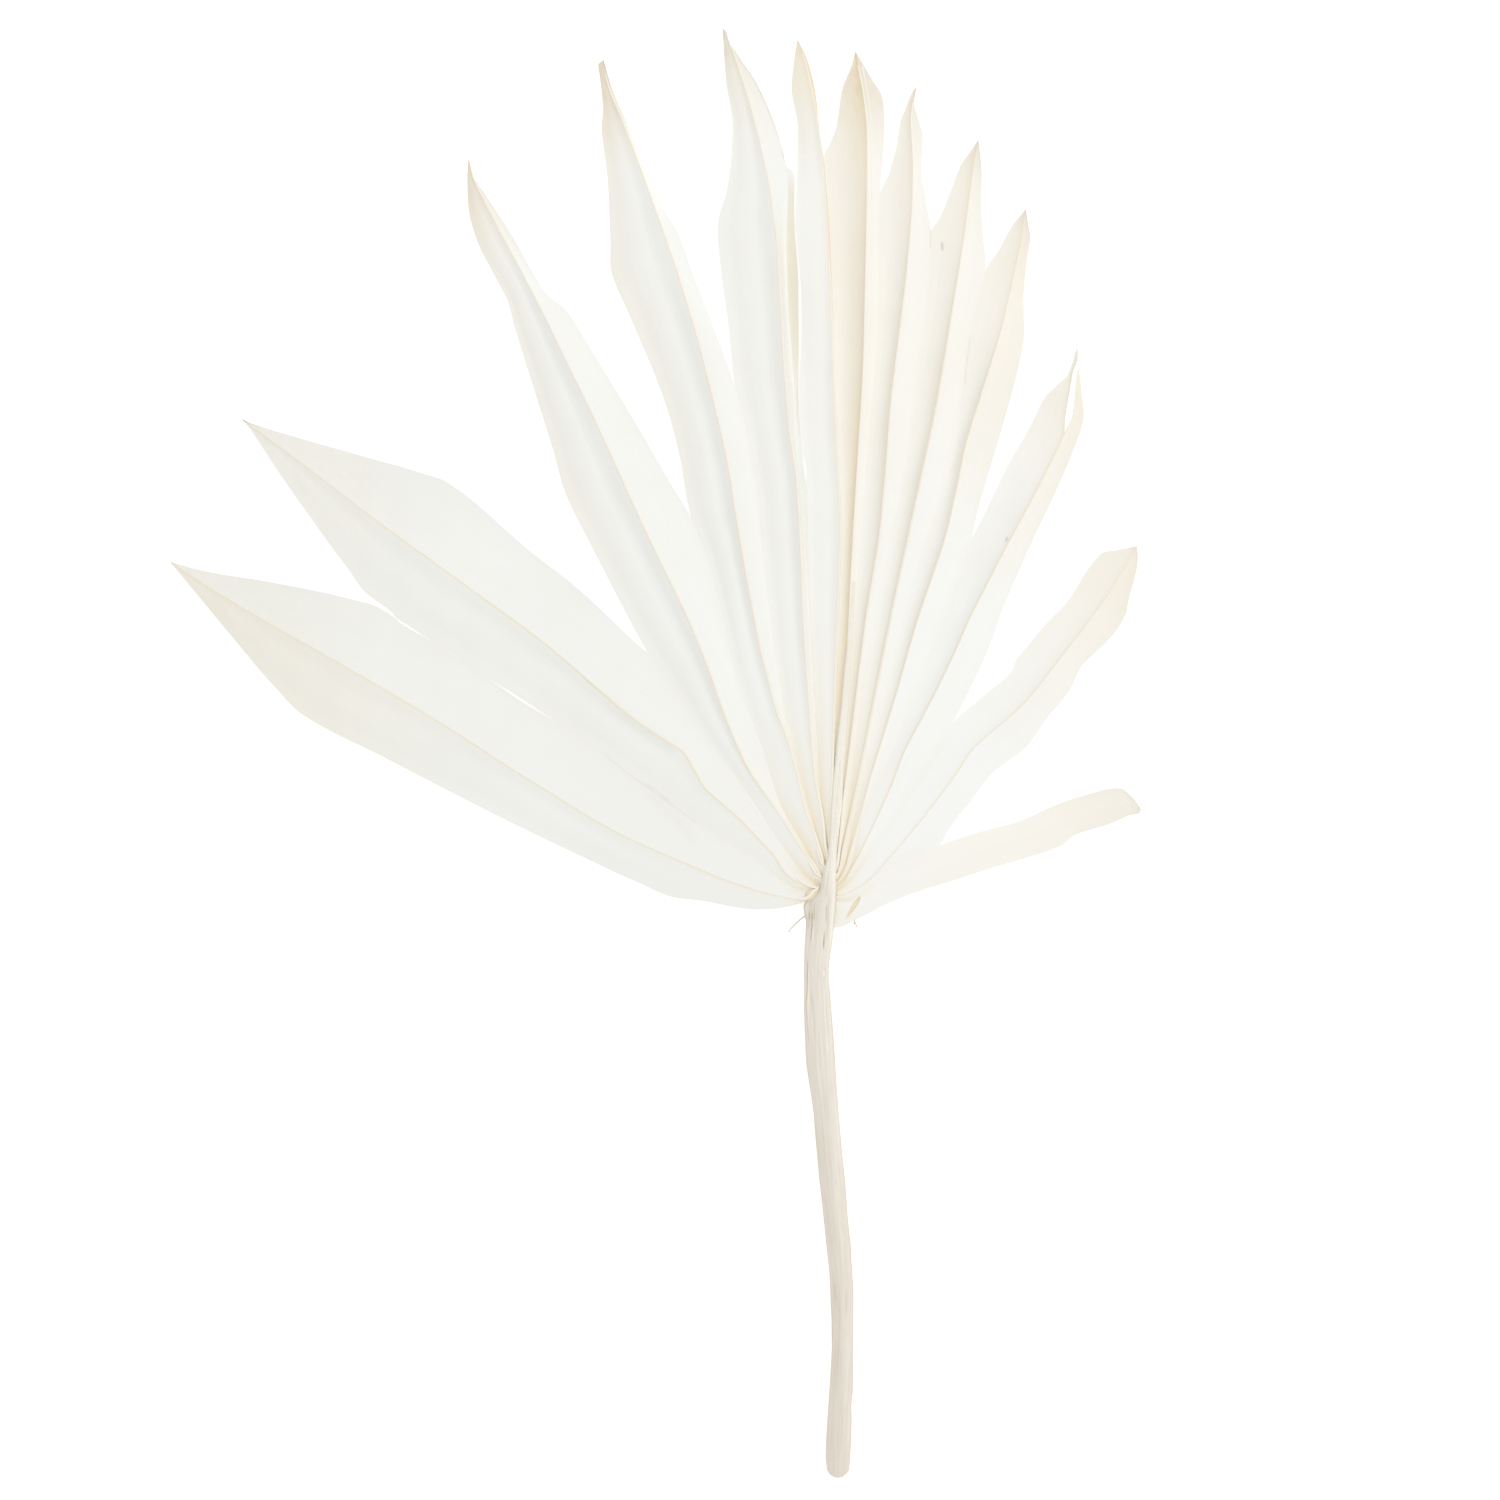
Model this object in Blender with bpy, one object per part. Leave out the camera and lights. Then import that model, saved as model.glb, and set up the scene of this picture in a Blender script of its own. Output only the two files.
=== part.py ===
"""A dried fan palm leaf, cut at the foot of its stalk and lying flat with its underside up.

The stalk runs on up the blade as a tapering rib. Thirteen leaflets fan out from it. Each one is folded
along its midrib, which is the high line, and meets its neighbours in a valley until the two part.
Every line below is a list of (x, y) points in millimetres from the hub, where blade and stalk meet, running
from the hub outwards. They are turned into an angle for each distance from the hub, so that neighbours
cross the same circles and never run into each other.
"""

import math

import bmesh
import bpy
import numpy as np

MM = 0.001

SKIN = 0.8  # thickness of a leaflet, measured straight down
SEAM_GAP = 0.25  # how far each leaflet keeps back from a seam
HUB_HEIGHT = 4.0  # height of the valleys at the hub, where the stalk holds the blade up
GROUND_RADIUS = 105.0  # beyond this distance from the hub the valleys lie on the surface
FULL_FOLD_RADIUS = 130.0  # where a fold reaches its full height
FIRST_FOLD = 0.4  # share of the full height at the hub
TIP_TAPER = 0.28  # the last share of a leaflet, over which its fold runs out
FLANK = (0.55, 0.36)  # where a flank bends, as a share of the way out, and how high it still is there
CIRCLES = [7, 8.5, 10, 12, 15, 18, 22, 27, 33, 41, 50, 60, 72] + list(range(85, 290, 13))

# The valleys between neighbours, up to the point where the two leaflets part.
SEAMS = {
    (1, 2): [(-8.5, 1.2), (-15, 5), (-25, 12), (-42, 22.8), (-60, 35.8), (-82.6, 52.2),
             (-104.8, 66.5), (-120, 76.9), (-136.6, 87)],
    (2, 3): [(-5.2, 4), (-12.4, 13.1), (-21.4, 25.8), (-30, 38.8), (-38.2, 49.5), (-45.8, 60.6),
             (-56.9, 76.7)],
    (3, 4): [(-3.4, 7.2), (-7.7, 16.2), (-12.8, 24.6), (-20, 45.3), (-29, 70.6), (-33.5, 90),
             (-38.5, 108.6), (-42.9, 119.7)],
    (4, 5): [(-1, 11), (-3, 18), (-8.2, 37), (-12.6, 54.5), (-16, 74.4), (-18, 90), (-20.7, 114.3),
             (-22.3, 129.6), (-25.8, 149.6), (-29.1, 162.3)],
    (5, 6): [(0.5, 16), (-0.2, 20), (-2, 38), (-3.2, 60), (-4.6, 85), (-5.6, 110), (-6, 129)],
    (6, 7): [(1.4, 26), (2, 37), (2.9, 41), (3.4, 60), (4.5, 90), (5.3, 115), (4.1, 142), (3.1, 165),
             (2.3, 191), (1.1, 215), (-0.7, 235.6)],
    (7, 8): [(3.4, 9), (4, 15.6), (4.6, 20), (5.8, 38), (9, 85), (10.7, 110), (14, 150), (16.6, 180),
             (17, 200), (17.4, 224)],
    (8, 9): [(4.1, 9.1), (5.2, 15.1), (6.5, 21), (8.8, 38), (12.4, 64), (16.5, 90), (20.4, 110),
             (26.7, 143), (30.3, 170), (33.5, 200), (33.7, 212)],
    (9, 10): [(5.4, 8.4), (8.5, 21), (12.6, 38), (18.5, 62), (25.5, 90), (31, 110), (38, 130),
              (43, 155), (46.2, 178), (51, 199)],
    (10, 11): [(6.9, 7.2), (12, 24), (18, 38), (24, 52), (31, 70), (38, 88), (46.7, 113.3)],
    (11, 12): [(8.9, 4.5), (12, 9.5), (19, 20), (26, 31), (33, 42), (40.7, 54.4)],
    (12, 13): [(9.9, -1), (13, 1.4), (18, 6.2), (24, 10.2), (36.3, 15.3)],
}

# For each leaflet: where it starts, its tip, the height of its fold, how far its tip curls up, its midrib,
# and its free edges beyond the seams. The first and the last leaflet have a free edge all the way in.
LEAFLETS = {
    1: dict(start=8.5, tip=(-210, 106.2), fold=4.5, lift=3,
            midrib=[(-7.4, -2), (-15, -0.9), (-30, 3.5), (-45, 9.6), (-65, 18.5), (-91, 33.8),
                    (-125, 55.5), (-155, 73.2), (-184.4, 90), (-200, 99.6)],
            left=[(-7.4, -2.6), (-12.5, -4.4), (-20, -5.2), (-40, -2.5), (-48.5, -1.5), (-60, 3.2),
                  (-80, 12.4), (-110, 27), (-140, 42.5), (-168.3, 57.5), (-176, 65.2), (-190, 81.6),
                  (-205, 100)],
            right=[(-140, 89.6), (-145, 92.3), (-150, 93.7), (-180, 100), (-200, 103.4)]),
    2: dict(start=8.5, tip=(-187.3, 152), fold=6, lift=3,
            midrib=[(-3.2, 0.8), (-9.3, 3.9), (-17.5, 13.2), (-30, 25.9), (-37.4, 32.3), (-42.4, 40),
                    (-45.8, 45.3), (-59.6, 54.5), (-66.5, 59.9), (-85, 75.9), (-115, 98.3),
                    (-145, 120.2), (-165.3, 135.8), (-180, 146.8)],
            left=[(-140, 90.6), (-146.5, 95.2), (-153.8, 104.6), (-165, 119.9), (-175.6, 135.2),
                  (-182, 145)],
            right=[(-60, 79.4), (-80, 98.1), (-95, 109.9), (-121.3, 131.7), (-130, 134.8), (-150, 140.5),
                   (-180, 149.1)]),
    3: dict(start=8.5, tip=(-114.2, 235.1), fold=8.5, lift=5,
            midrib=[(-1.6, 5.2), (-8.5, 15.4), (-13.9, 23.8), (-22.9, 36.9), (-31.3, 54.5),
                    (-38.2, 73.6), (-44.8, 89.4), (-56.7, 114), (-75.8, 155.4), (-90, 184.6),
                    (-105, 213.2), (-112, 227)],
            left=[(-65, 91.4), (-74.5, 109.8), (-83.1, 127), (-87.6, 142.3), (-93, 159.5),
                  (-102.7, 191.2), (-110, 204.9), (-113.6, 214.8), (-114.7, 227)],
            right=[(-50, 131.8), (-60.5, 150), (-82.9, 186.4), (-90, 192.5), (-109.5, 224.4),
                   (-112.9, 229.5)]),
    4: dict(start=10, tip=(-71.1, 266.4), fold=9, lift=5,
            midrib=[(-1.5, 10.4), (-3.6, 18.8), (-7, 28.4), (-9, 37), (-11.8, 47.6), (-16, 59),
                    (-20, 74.4), (-23.4, 91), (-28, 116.8), (-32.5, 143), (-38.5, 167.8),
                    (-45.2, 191.2), (-54.8, 219.3), (-65, 246.8), (-69.8, 258.9)],
            left=[(-47, 140.4), (-51, 155.4), (-62.9, 184.9), (-68.4, 197.6), (-69.1, 210),
                  (-70, 229.5), (-71.8, 245.2), (-71.3, 250), (-72.8, 265.1)],
            right=[(-33.4, 174.5), (-42.7, 198.8), (-47.5, 211.6), (-52.9, 220.6), (-59.4, 235.9),
                   (-64.4, 248.1), (-69, 259)]),
    5: dict(start=15, tip=(-33.1, 276.8), fold=9, lift=4,
            midrib=[(-0.4, 16), (-0.9, 21.9), (-3.6, 38), (-5.5, 62), (-7, 85), (-8, 108.6),
                    (-9.2, 130.2), (-11.8, 149.3), (-13.4, 167.8), (-14.3, 185), (-15.5, 205),
                    (-17.5, 222), (-21.3, 241), (-26.1, 258.3), (-29.9, 269.5)],
            left=[(-31.3, 182), (-34.7, 210), (-34.7, 214.5), (-31.8, 225), (-30, 241.7), (-30, 248),
                  (-31.9, 258.9), (-32.8, 271.1)],
            right=[(-8.3, 149), (-8.8, 173), (-8.9, 195), (-10.1, 214.3), (-10.1, 230.5),
                   (-12.5, 232.8), (-15, 242.2), (-22.9, 260.2), (-26.7, 265.9), (-30.9, 272.3)]),
    6: dict(start=27, tip=(-9.1, 273.2), fold=8, lift=4,
            midrib=[(0.9, 26), (2, 38), (2.3, 50), (3.7, 90), (4.5, 112), (3.3, 142), (2.3, 165.6),
                    (1.5, 191), (0.5, 210.3), (-0.9, 231.6), (-2.9, 248.2), (-6.4, 265.2)],
            left=[(-7.4, 149), (-7.8, 170), (-8.3, 190), (-8.6, 205), (-9.4, 222.9), (-9.1, 245.9),
                  (-11, 257.4), (-10.3, 266)],
            right=[(-1.9, 244.8), (-3.3, 256.3), (-6, 267)]),
    7: dict(start=41, tip=(9.4, 269.5), fold=8, lift=3,
            midrib=[(5.2, 42), (7.7, 90), (9.2, 119.7), (10.6, 142.7), (11.8, 162.7), (12.7, 195),
                    (13.2, 221.8), (13.2, 245.3), (12, 256.3), (10.9, 262)],
            left=[(1.7, 241.3), (3.4, 245.9), (5.1, 256.8), (8.6, 266)],
            right=[(17.8, 230.4), (18.5, 239), (18.8, 250), (18, 255.4), (14.6, 260.9), (12.6, 264.3)]),
    8: dict(start=18, tip=(28.9, 257.9), fold=8, lift=5,
            midrib=[(4.4, 15.4), (5.8, 30.3), (6.8, 38), (10, 64), (13.3, 90), (16.6, 110),
                    (18.9, 131.2), (21.2, 160), (25.2, 192.5), (27.4, 216), (27.9, 233.3),
                    (27.4, 250.5)],
            left=[(20.1, 230.4), (23, 241.3), (23.6, 245.9), (25.5, 251.1)],
            right=[(32.1, 221.8), (30.7, 231.6), (31.1, 241.9), (29.5, 248.2), (28.2, 252.8)]),
    9: dict(start=18, tip=(48.7, 241), fold=7.5, lift=4,
            midrib=[(5.7, 14.9), (8.3, 26.5), (10.7, 38), (15.5, 62), (21.2, 90), (29.8, 130),
                    (33.8, 148.4), (37.8, 170.2), (41.3, 192), (44.5, 212), (47, 230.4)],
            left=[(36.4, 216.3), (39.9, 224.7), (43, 232.7)],
            right=[(50.4, 212), (49.9, 220.1), (50, 230)]),
    10: dict(start=12, tip=(63.9, 218.9), fold=6.5, lift=4,
             midrib=[(7.9, 13.9), (9.8, 20.8), (14.5, 38), (22, 62), (30.2, 90), (37, 110),
                     (41.6, 128.3), (45.6, 146.7), (54.5, 174.8), (59.3, 193.7), (62.3, 208)],
             left=[(54.8, 205.1), (59.7, 213.7)],
             right=[(49, 123.2), (57.9, 153.6), (61.4, 166.7), (63.5, 177), (63.6, 192.5),
                    (65.5, 209.7)]),
    11: dict(start=8.5, tip=(80.4, 174.9), fold=5.5, lift=3,
             midrib=[(8.3, 8.1), (13.7, 18.8), (21, 34.7), (26, 47.2), (32.6, 59.5), (40.4, 75.3),
                     (47, 90), (57.3, 110), (65.9, 126), (75.7, 145.7)],
             left=[(50.5, 120.9), (57.3, 135.2), (65.4, 149.5), (69.7, 158.1), (78.8, 167.9)],
             right=[(43.9, 60.5), (48.4, 69.6), (53, 80.2), (56.5, 90), (65.1, 110), (78.6, 139.8),
                    (82.6, 151.3), (82.1, 159.9)],
             notch_left=[(76.5, 152.4), (78.3, 162.7), (79.6, 168.5)],
             notch_right=[(78.3, 150.7), (79.7, 158.1), (80.4, 166.2)],
             second_tip=(81, 168.8)),
    12: dict(start=8.5, tip=(99.5, 111), fold=4, lift=4,
             midrib=[(9.9, 1.4), (20, 11), (28.1, 20.5), (42.1, 38.8), (47.7, 46.8), (61.8, 59.1),
                     (75.1, 75.3), (89, 93.8)],
             left=[(49.1, 62), (59.6, 71.1), (61.1, 74.9), (77.1, 93.1), (84.5, 104.6), (87.7, 108.5),
                   (92.8, 109.8)],
             right=[(38.9, 19.8), (44.9, 27.5), (55.4, 40), (62.5, 45.1), (78.6, 65.4), (82.5, 73.2),
                    (90.5, 80.9), (96, 89), (99.8, 106.6)]),
    13: dict(start=7, tip=(100.8, 26.8), fold=2.5, lift=4,
             midrib=[(9.5, -3.6), (20, 1.5), (32, 6.5), (50, 13.5), (70, 20), (85, 26), (95, 29)],
             left=[(47, 19), (61.8, 23), (75.1, 28.8), (84.2, 31.8), (91.9, 33.6), (95.1, 33.3),
                   (98.6, 30)],
             right=[(8.8, -8.9), (15, -5.8), (20, -3.3), (28, 0), (40, 3.7), (55, 8.5), (75.1, 14.9),
                    (82.8, 20.2), (90.5, 21.9), (97.5, 24.9), (100, 25.4)]),
}
FLAT_FLANK = (2, "left")  # the flank that lies flat on the surface, out to its edge

# The stalk's centre line: (x, y, height, radius), from the cut end up to the tip of the rib.
STALK = [(3.8, -186.2, 3.9, 3.3), (3.8, -184.6, 3.9, 3.85), (4.4, -168, 4.0, 3.85),
         (5.1, -150, 4.1, 3.7), (5.4, -136, 3.9, 3.6), (4.3, -119, 4.0, 3.9), (2.9, -101, 4.0, 3.9),
         (1.2, -85, 4.2, 4.05), (0, -70, 4.3, 4.1), (-1.5, -56, 4.6, 4.6), (-2.4, -47, 4.6, 4.6),
         (-2.7, -33, 4.4, 4.25), (-3.1, -26, 4.3, 4.0), (-2.6, -17.5, 4.5, 4.2), (-2.1, -10, 4.8, 4.3),
         (-0.8, -5, 5.6, 3.3), (1.0, 0, 6.6, 1.9), (1.5, 6, 7.0, 1.5), (2.2, 14, 7.2, 1.3),
         (3.0, 24, 7.0, 1.15), (3.8, 34, 6.4, 0.95), (4.1, 38.5, 6.1, 0.7)]


def polar_line(points):
    """The points as distances from the hub and angles, for angle_at."""
    xy = np.array(points, float)
    return np.hypot(xy[:, 0], xy[:, 1]), np.unwrap(np.arctan2(xy[:, 1], xy[:, 0]))


def angle_at(line, radius):
    """A smooth curve through the line's angles that never swings past them (monotone cubic)."""
    r, a = line
    radius = min(max(radius, r[0]), r[-1])
    i = min(max(int(np.searchsorted(r, radius)) - 1, 0), len(r) - 2)
    step = np.diff(r)
    slope = np.diff(a) / step

    def tangent(k):
        if k in (0, len(r) - 1):
            return slope[min(k, len(slope) - 1)]
        before, after = slope[k - 1], slope[k]
        if before * after <= 0:
            return 0.0
        w1 = 2 * step[k] + step[k - 1]
        w2 = step[k] + 2 * step[k - 1]
        return (w1 + w2) / (w1 / before + w2 / after)

    h = step[i]
    t = (radius - r[i]) / h
    return ((1 + 2 * t) * (1 - t) ** 2 * a[i] + t * (1 - t) ** 2 * h * tangent(i)
            + t * t * (3 - 2 * t) * a[i + 1] + t * t * (t - 1) * h * tangent(i + 1))


def point_at(line, radius):
    angle = angle_at(line, radius)
    return np.array((radius * math.cos(angle), radius * math.sin(angle)))


def smooth(low, high, value):
    t = min(max((value - low) / (high - low), 0.0), 1.0)
    return t * t * (3 - 2 * t)


def edges_of(number):
    """A leaflet's left and right edge, each as the seam it shares and then its own free edge."""
    leaf = LEAFLETS[number]
    end = [leaf["tip"]]
    left = SEAMS.get((number - 1, number), []) + leaf["left"] + end
    right = SEAMS.get((number, number + 1), []) + leaf["right"] + [leaf.get("second_tip", leaf["tip"])]
    return polar_line(left), polar_line(right)


def parting_radius(number):
    """How far out the leaflet stays joined to a neighbour."""
    ends = [math.hypot(*SEAMS[pair][-1]) for pair in SEAMS if number in pair]
    return max(ends)


def valley_height(number, radius, tip_radius):
    """Height of the lower surface along the leaflet's edges."""
    held_up = HUB_HEIGHT * (1 - smooth(0, GROUND_RADIUS, radius))
    from_radius = max(parting_radius(number), 0.6 * tip_radius)
    curled = max(radius - from_radius, 0) / (tip_radius - from_radius)
    return held_up + LEAFLETS[number]["lift"] * curled**2


def fold_height(number, radius, tip_radius):
    """How far the midrib stands above the edges."""
    grown = FIRST_FOLD + (1 - FIRST_FOLD) * smooth(0, FULL_FOLD_RADIUS, radius)
    run_out = min((tip_radius - radius) / (TIP_TAPER * tip_radius), 1.0)
    return LEAFLETS[number]["fold"] * grown * run_out


def half_row(number, side, radius, tip_radius, inner, outer):
    """Three points across half a leaflet, from its midrib to its edge."""
    inner_xy = point_at(inner, radius)
    outer_xy = point_at(outer, radius)
    reach = float(np.hypot(*(outer_xy - inner_xy)))
    outer_xy = outer_xy + (inner_xy - outer_xy) * min(SEAM_GAP / reach, 0.5)
    low = valley_height(number, radius, tip_radius)
    high = fold_height(number, radius, tip_radius)
    bend, share = FLANK
    if (number, side) == FLAT_FLANK and radius > GROUND_RADIUS:
        share = 0.0
    bend_xy = inner_xy + (outer_xy - inner_xy) * bend
    return [(*inner_xy, low + high), (*bend_xy, low + high * share), (*outer_xy, low)]


def leaflet_sheet(bm, number):
    """The leaflet's upper surface: rows of points on the circles, joined into faces."""
    leaf = LEAFLETS[number]
    left, right = edges_of(number)
    tip_radius = math.hypot(*leaf["tip"])
    midrib = polar_line(leaf["midrib"] + ([] if "notch_left" in leaf else [leaf["tip"]]))
    fork = midrib[0][-1] if "notch_left" in leaf else tip_radius
    root = leaf["midrib"][-1]
    halves = {"left": (left, midrib, tip_radius), "right": (right, midrib, tip_radius)}
    if "notch_left" in leaf:
        prong_left = polar_line([root] + leaf["notch_left"] + [leaf["tip"]])
        prong_right = polar_line([root] + leaf["notch_right"] + [leaf["second_tip"]])
        halves = {"left": (left, prong_left, tip_radius),
                  "right": (right, prong_right, math.hypot(*leaf["second_tip"]))}
    shared = {}
    for side, (outer, beyond_fork, end) in halves.items():
        rows = [r for r in CIRCLES if leaf["start"] <= r < end - 3.0 and abs(r - fork) > 3.0]
        rows = sorted(set(rows + ([fork] if fork < tip_radius else [])))
        grid = []
        for r in rows:
            inner = midrib if r <= fork else beyond_fork
            row = half_row(number, side, r, tip_radius, inner, outer)
            if r <= fork and r not in shared:
                shared[r] = bm.verts.new(row[0])
            first = shared[r] if r <= fork else bm.verts.new(row[0])
            grid.append([first] + [bm.verts.new(p) for p in row[1:]])
        tip_xy = point_at(outer, end)
        tip_z = valley_height(number, end, tip_radius)
        key = "tip" if fork == tip_radius else side
        if key not in shared:
            shared[key] = bm.verts.new((*tip_xy, tip_z))
        for near, far in zip(grid, grid[1:]):
            for k in (0, 1):
                bm.faces.new((near[k], near[k + 1], far[k + 1], far[k]))
        for k in (0, 1):
            bm.faces.new((grid[-1][k], grid[-1][k + 1], shared[key]))


def make_leaflet(number, collection, material, offset):
    bm = bmesh.new()
    leaflet_sheet(bm, number)
    bmesh.ops.recalc_face_normals(bm, faces=bm.faces)
    upper = list(bm.faces)
    made = bmesh.ops.extrude_face_region(bm, geom=upper)["geom"]
    raised = [item for item in made if isinstance(item, bmesh.types.BMVert)]
    bmesh.ops.translate(bm, verts=raised, vec=(0, 0, SKIN))
    bmesh.ops.recalc_face_normals(bm, faces=bm.faces)
    bmesh.ops.translate(bm, verts=bm.verts, vec=offset)
    bmesh.ops.scale(bm, verts=bm.verts, vec=(MM, MM, MM))
    mesh = bpy.data.meshes.new(f"leaflet_{number:02d}")
    bm.to_mesh(mesh)
    bm.free()
    mesh.materials.append(material)
    mesh.shade_smooth()
    collection.objects.link(bpy.data.objects.new(mesh.name, mesh))


def make_stalk(collection, material, offset):
    curve = bpy.data.curves.new("stalk", "CURVE")
    curve.dimensions = "3D"
    curve.bevel_depth = MM
    curve.bevel_resolution = 4
    curve.use_fill_caps = True
    spline = curve.splines.new("POLY")
    spline.points.add(len(STALK) - 1)
    for point, (x, y, z, radius) in zip(spline.points, STALK):
        place = (np.array((x, y, z)) + offset) * MM
        point.co = (*place, 1.0)
        point.radius = radius
    curve.materials.append(material)
    collection.objects.link(bpy.data.objects.new("stalk", curve))


def make_material(name, colour, roughness):
    material = bpy.data.materials.new(name)
    material.use_nodes = True
    shader = material.node_tree.nodes["Principled BSDF"]
    shader.inputs["Base Color"].default_value = (*colour, 1.0)
    shader.inputs["Roughness"].default_value = roughness
    shader.inputs["Metallic"].default_value = 0.0
    return material


def main():
    for obj in list(bpy.data.objects):
        bpy.data.objects.remove(obj)
    collection = bpy.data.collections.new("fan_palm_leaf")
    bpy.context.scene.collection.children.link(collection)
    lamina = make_material("bleached_leaf", (0.78, 0.75, 0.68), 0.6)
    wood = make_material("bleached_stalk", (0.74, 0.69, 0.58), 0.55)
    # The origin goes under the middle of the leaf's bounding box, at the height it rests on.
    left_end, right_end = LEAFLETS[1]["tip"][0], LEAFLETS[13]["tip"][0]
    top_end, bottom_end = LEAFLETS[5]["tip"][1], STALK[0][1]
    offset = np.array((-(left_end + right_end) / 2, -(top_end + bottom_end) / 2, 0.0))
    make_stalk(collection, wood, offset)
    for number in LEAFLETS:
        make_leaflet(number, collection, lamina, offset)


main()
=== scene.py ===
"""A dried and bleached fan palm leaf, lying flat with its underside up and its stalk towards the viewer.

Thirteen leaflets fan out from the hub, where blade and stalk meet. Each is a thin folded sheet with a
raised midrib, and neighbours share a valley until they part. Shapes are worked out in millimetres from
the hub, then moved into the frame.
"""

import math

import bpy
import mathutils
import numpy as np
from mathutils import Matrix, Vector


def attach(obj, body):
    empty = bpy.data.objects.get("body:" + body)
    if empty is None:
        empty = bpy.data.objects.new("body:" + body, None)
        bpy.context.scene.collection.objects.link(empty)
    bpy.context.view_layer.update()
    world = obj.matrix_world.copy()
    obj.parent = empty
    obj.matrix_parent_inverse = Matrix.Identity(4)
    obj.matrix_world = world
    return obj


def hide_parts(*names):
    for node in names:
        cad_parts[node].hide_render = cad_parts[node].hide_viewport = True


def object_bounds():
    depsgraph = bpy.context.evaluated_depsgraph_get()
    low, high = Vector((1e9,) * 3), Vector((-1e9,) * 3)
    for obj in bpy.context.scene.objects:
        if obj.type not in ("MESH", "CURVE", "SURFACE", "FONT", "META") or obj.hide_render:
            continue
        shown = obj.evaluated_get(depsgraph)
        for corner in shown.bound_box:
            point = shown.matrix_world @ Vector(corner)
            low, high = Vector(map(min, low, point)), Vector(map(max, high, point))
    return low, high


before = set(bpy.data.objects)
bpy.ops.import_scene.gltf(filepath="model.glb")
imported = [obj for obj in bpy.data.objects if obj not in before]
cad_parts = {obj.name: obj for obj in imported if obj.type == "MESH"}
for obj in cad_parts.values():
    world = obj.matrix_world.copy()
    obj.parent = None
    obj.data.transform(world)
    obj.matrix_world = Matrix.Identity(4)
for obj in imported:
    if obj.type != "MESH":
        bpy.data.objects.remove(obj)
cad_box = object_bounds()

MM = 0.001
ROOT = "root"

# ---------------------------------------------------------------------------------------------
# The leaf's plan, in millimetres from the hub: lists of (x, y) points running outwards.
# ---------------------------------------------------------------------------------------------

# The valleys between neighbours, up to the point where the two leaflets part.
SEAMS = {
    (1, 2): [(-5, 0.8), (-8.5, 1.2), (-15, 5), (-25, 12), (-42, 22.8), (-60, 35.8), (-82.6, 52.2),
             (-104.8, 66.5), (-120, 76.9), (-136.6, 87)],
    (2, 3): [(-2.2, 2), (-5.2, 4.4), (-12.4, 13.1), (-21.4, 25.8), (-30, 38.8), (-38.2, 49.5),
             (-45.8, 60.6), (-56.9, 76.7)],
    (3, 4): [(-1.4, 5), (-3.4, 8.2), (-7.7, 16.2), (-12.8, 24.6), (-20, 45.3), (-29, 70.6),
             (-33.5, 90), (-38.5, 108.6), (-42.9, 119.7)],
    (4, 5): [(-0.3, 9), (-3, 18), (-8.2, 37), (-12.6, 54.5), (-16, 74.4), (-18, 90), (-20.7, 114.3),
             (-22.3, 129.6), (-25.8, 149.6), (-29.1, 162.3)],
    (5, 6): [(0.9, 12), (-0.2, 20), (-2, 38), (-3.2, 60), (-4.6, 85), (-5.6, 110), (-6, 129)],
    (6, 7): [(1.7, 12), (1.9, 20), (2.4, 30), (2.8, 41), (3.3, 60), (4.4, 90), (5.2, 115),
             (4, 142), (3, 165), (2.2, 191), (1, 215), (-0.7, 235.6)],
    (7, 8): [(3.4, 9), (4, 15.6), (4.6, 20), (5.8, 38), (9, 85), (10.7, 110), (14, 150), (16.6, 180),
             (17, 200), (17.4, 224)],
    (8, 9): [(3.8, 7), (5.2, 15.1), (6.5, 21), (8.8, 38), (12.4, 64), (16.5, 90), (20.4, 110),
             (26.7, 143), (30.3, 170), (33.5, 200), (33.7, 212)],
    (9, 10): [(3.9, 4.6), (8.5, 21), (12.6, 38), (18.5, 62), (25.5, 90), (31, 110), (38, 130),
              (43, 155), (46.2, 178), (51, 199)],
    (10, 11): [(3.6, 2.6), (12, 24), (18, 38), (24, 52), (31, 70), (38, 88), (46.7, 113.3)],
    (11, 12): [(3.8, 1.2), (12, 9.5), (19, 20), (26, 31), (33, 42), (40.7, 54.4)],
    (12, 13): [(3.4, -2.2), (9.9, -0.6), (13, 1.4), (18, 6.2), (24, 10.2), (36.3, 15.3)],
}

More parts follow.
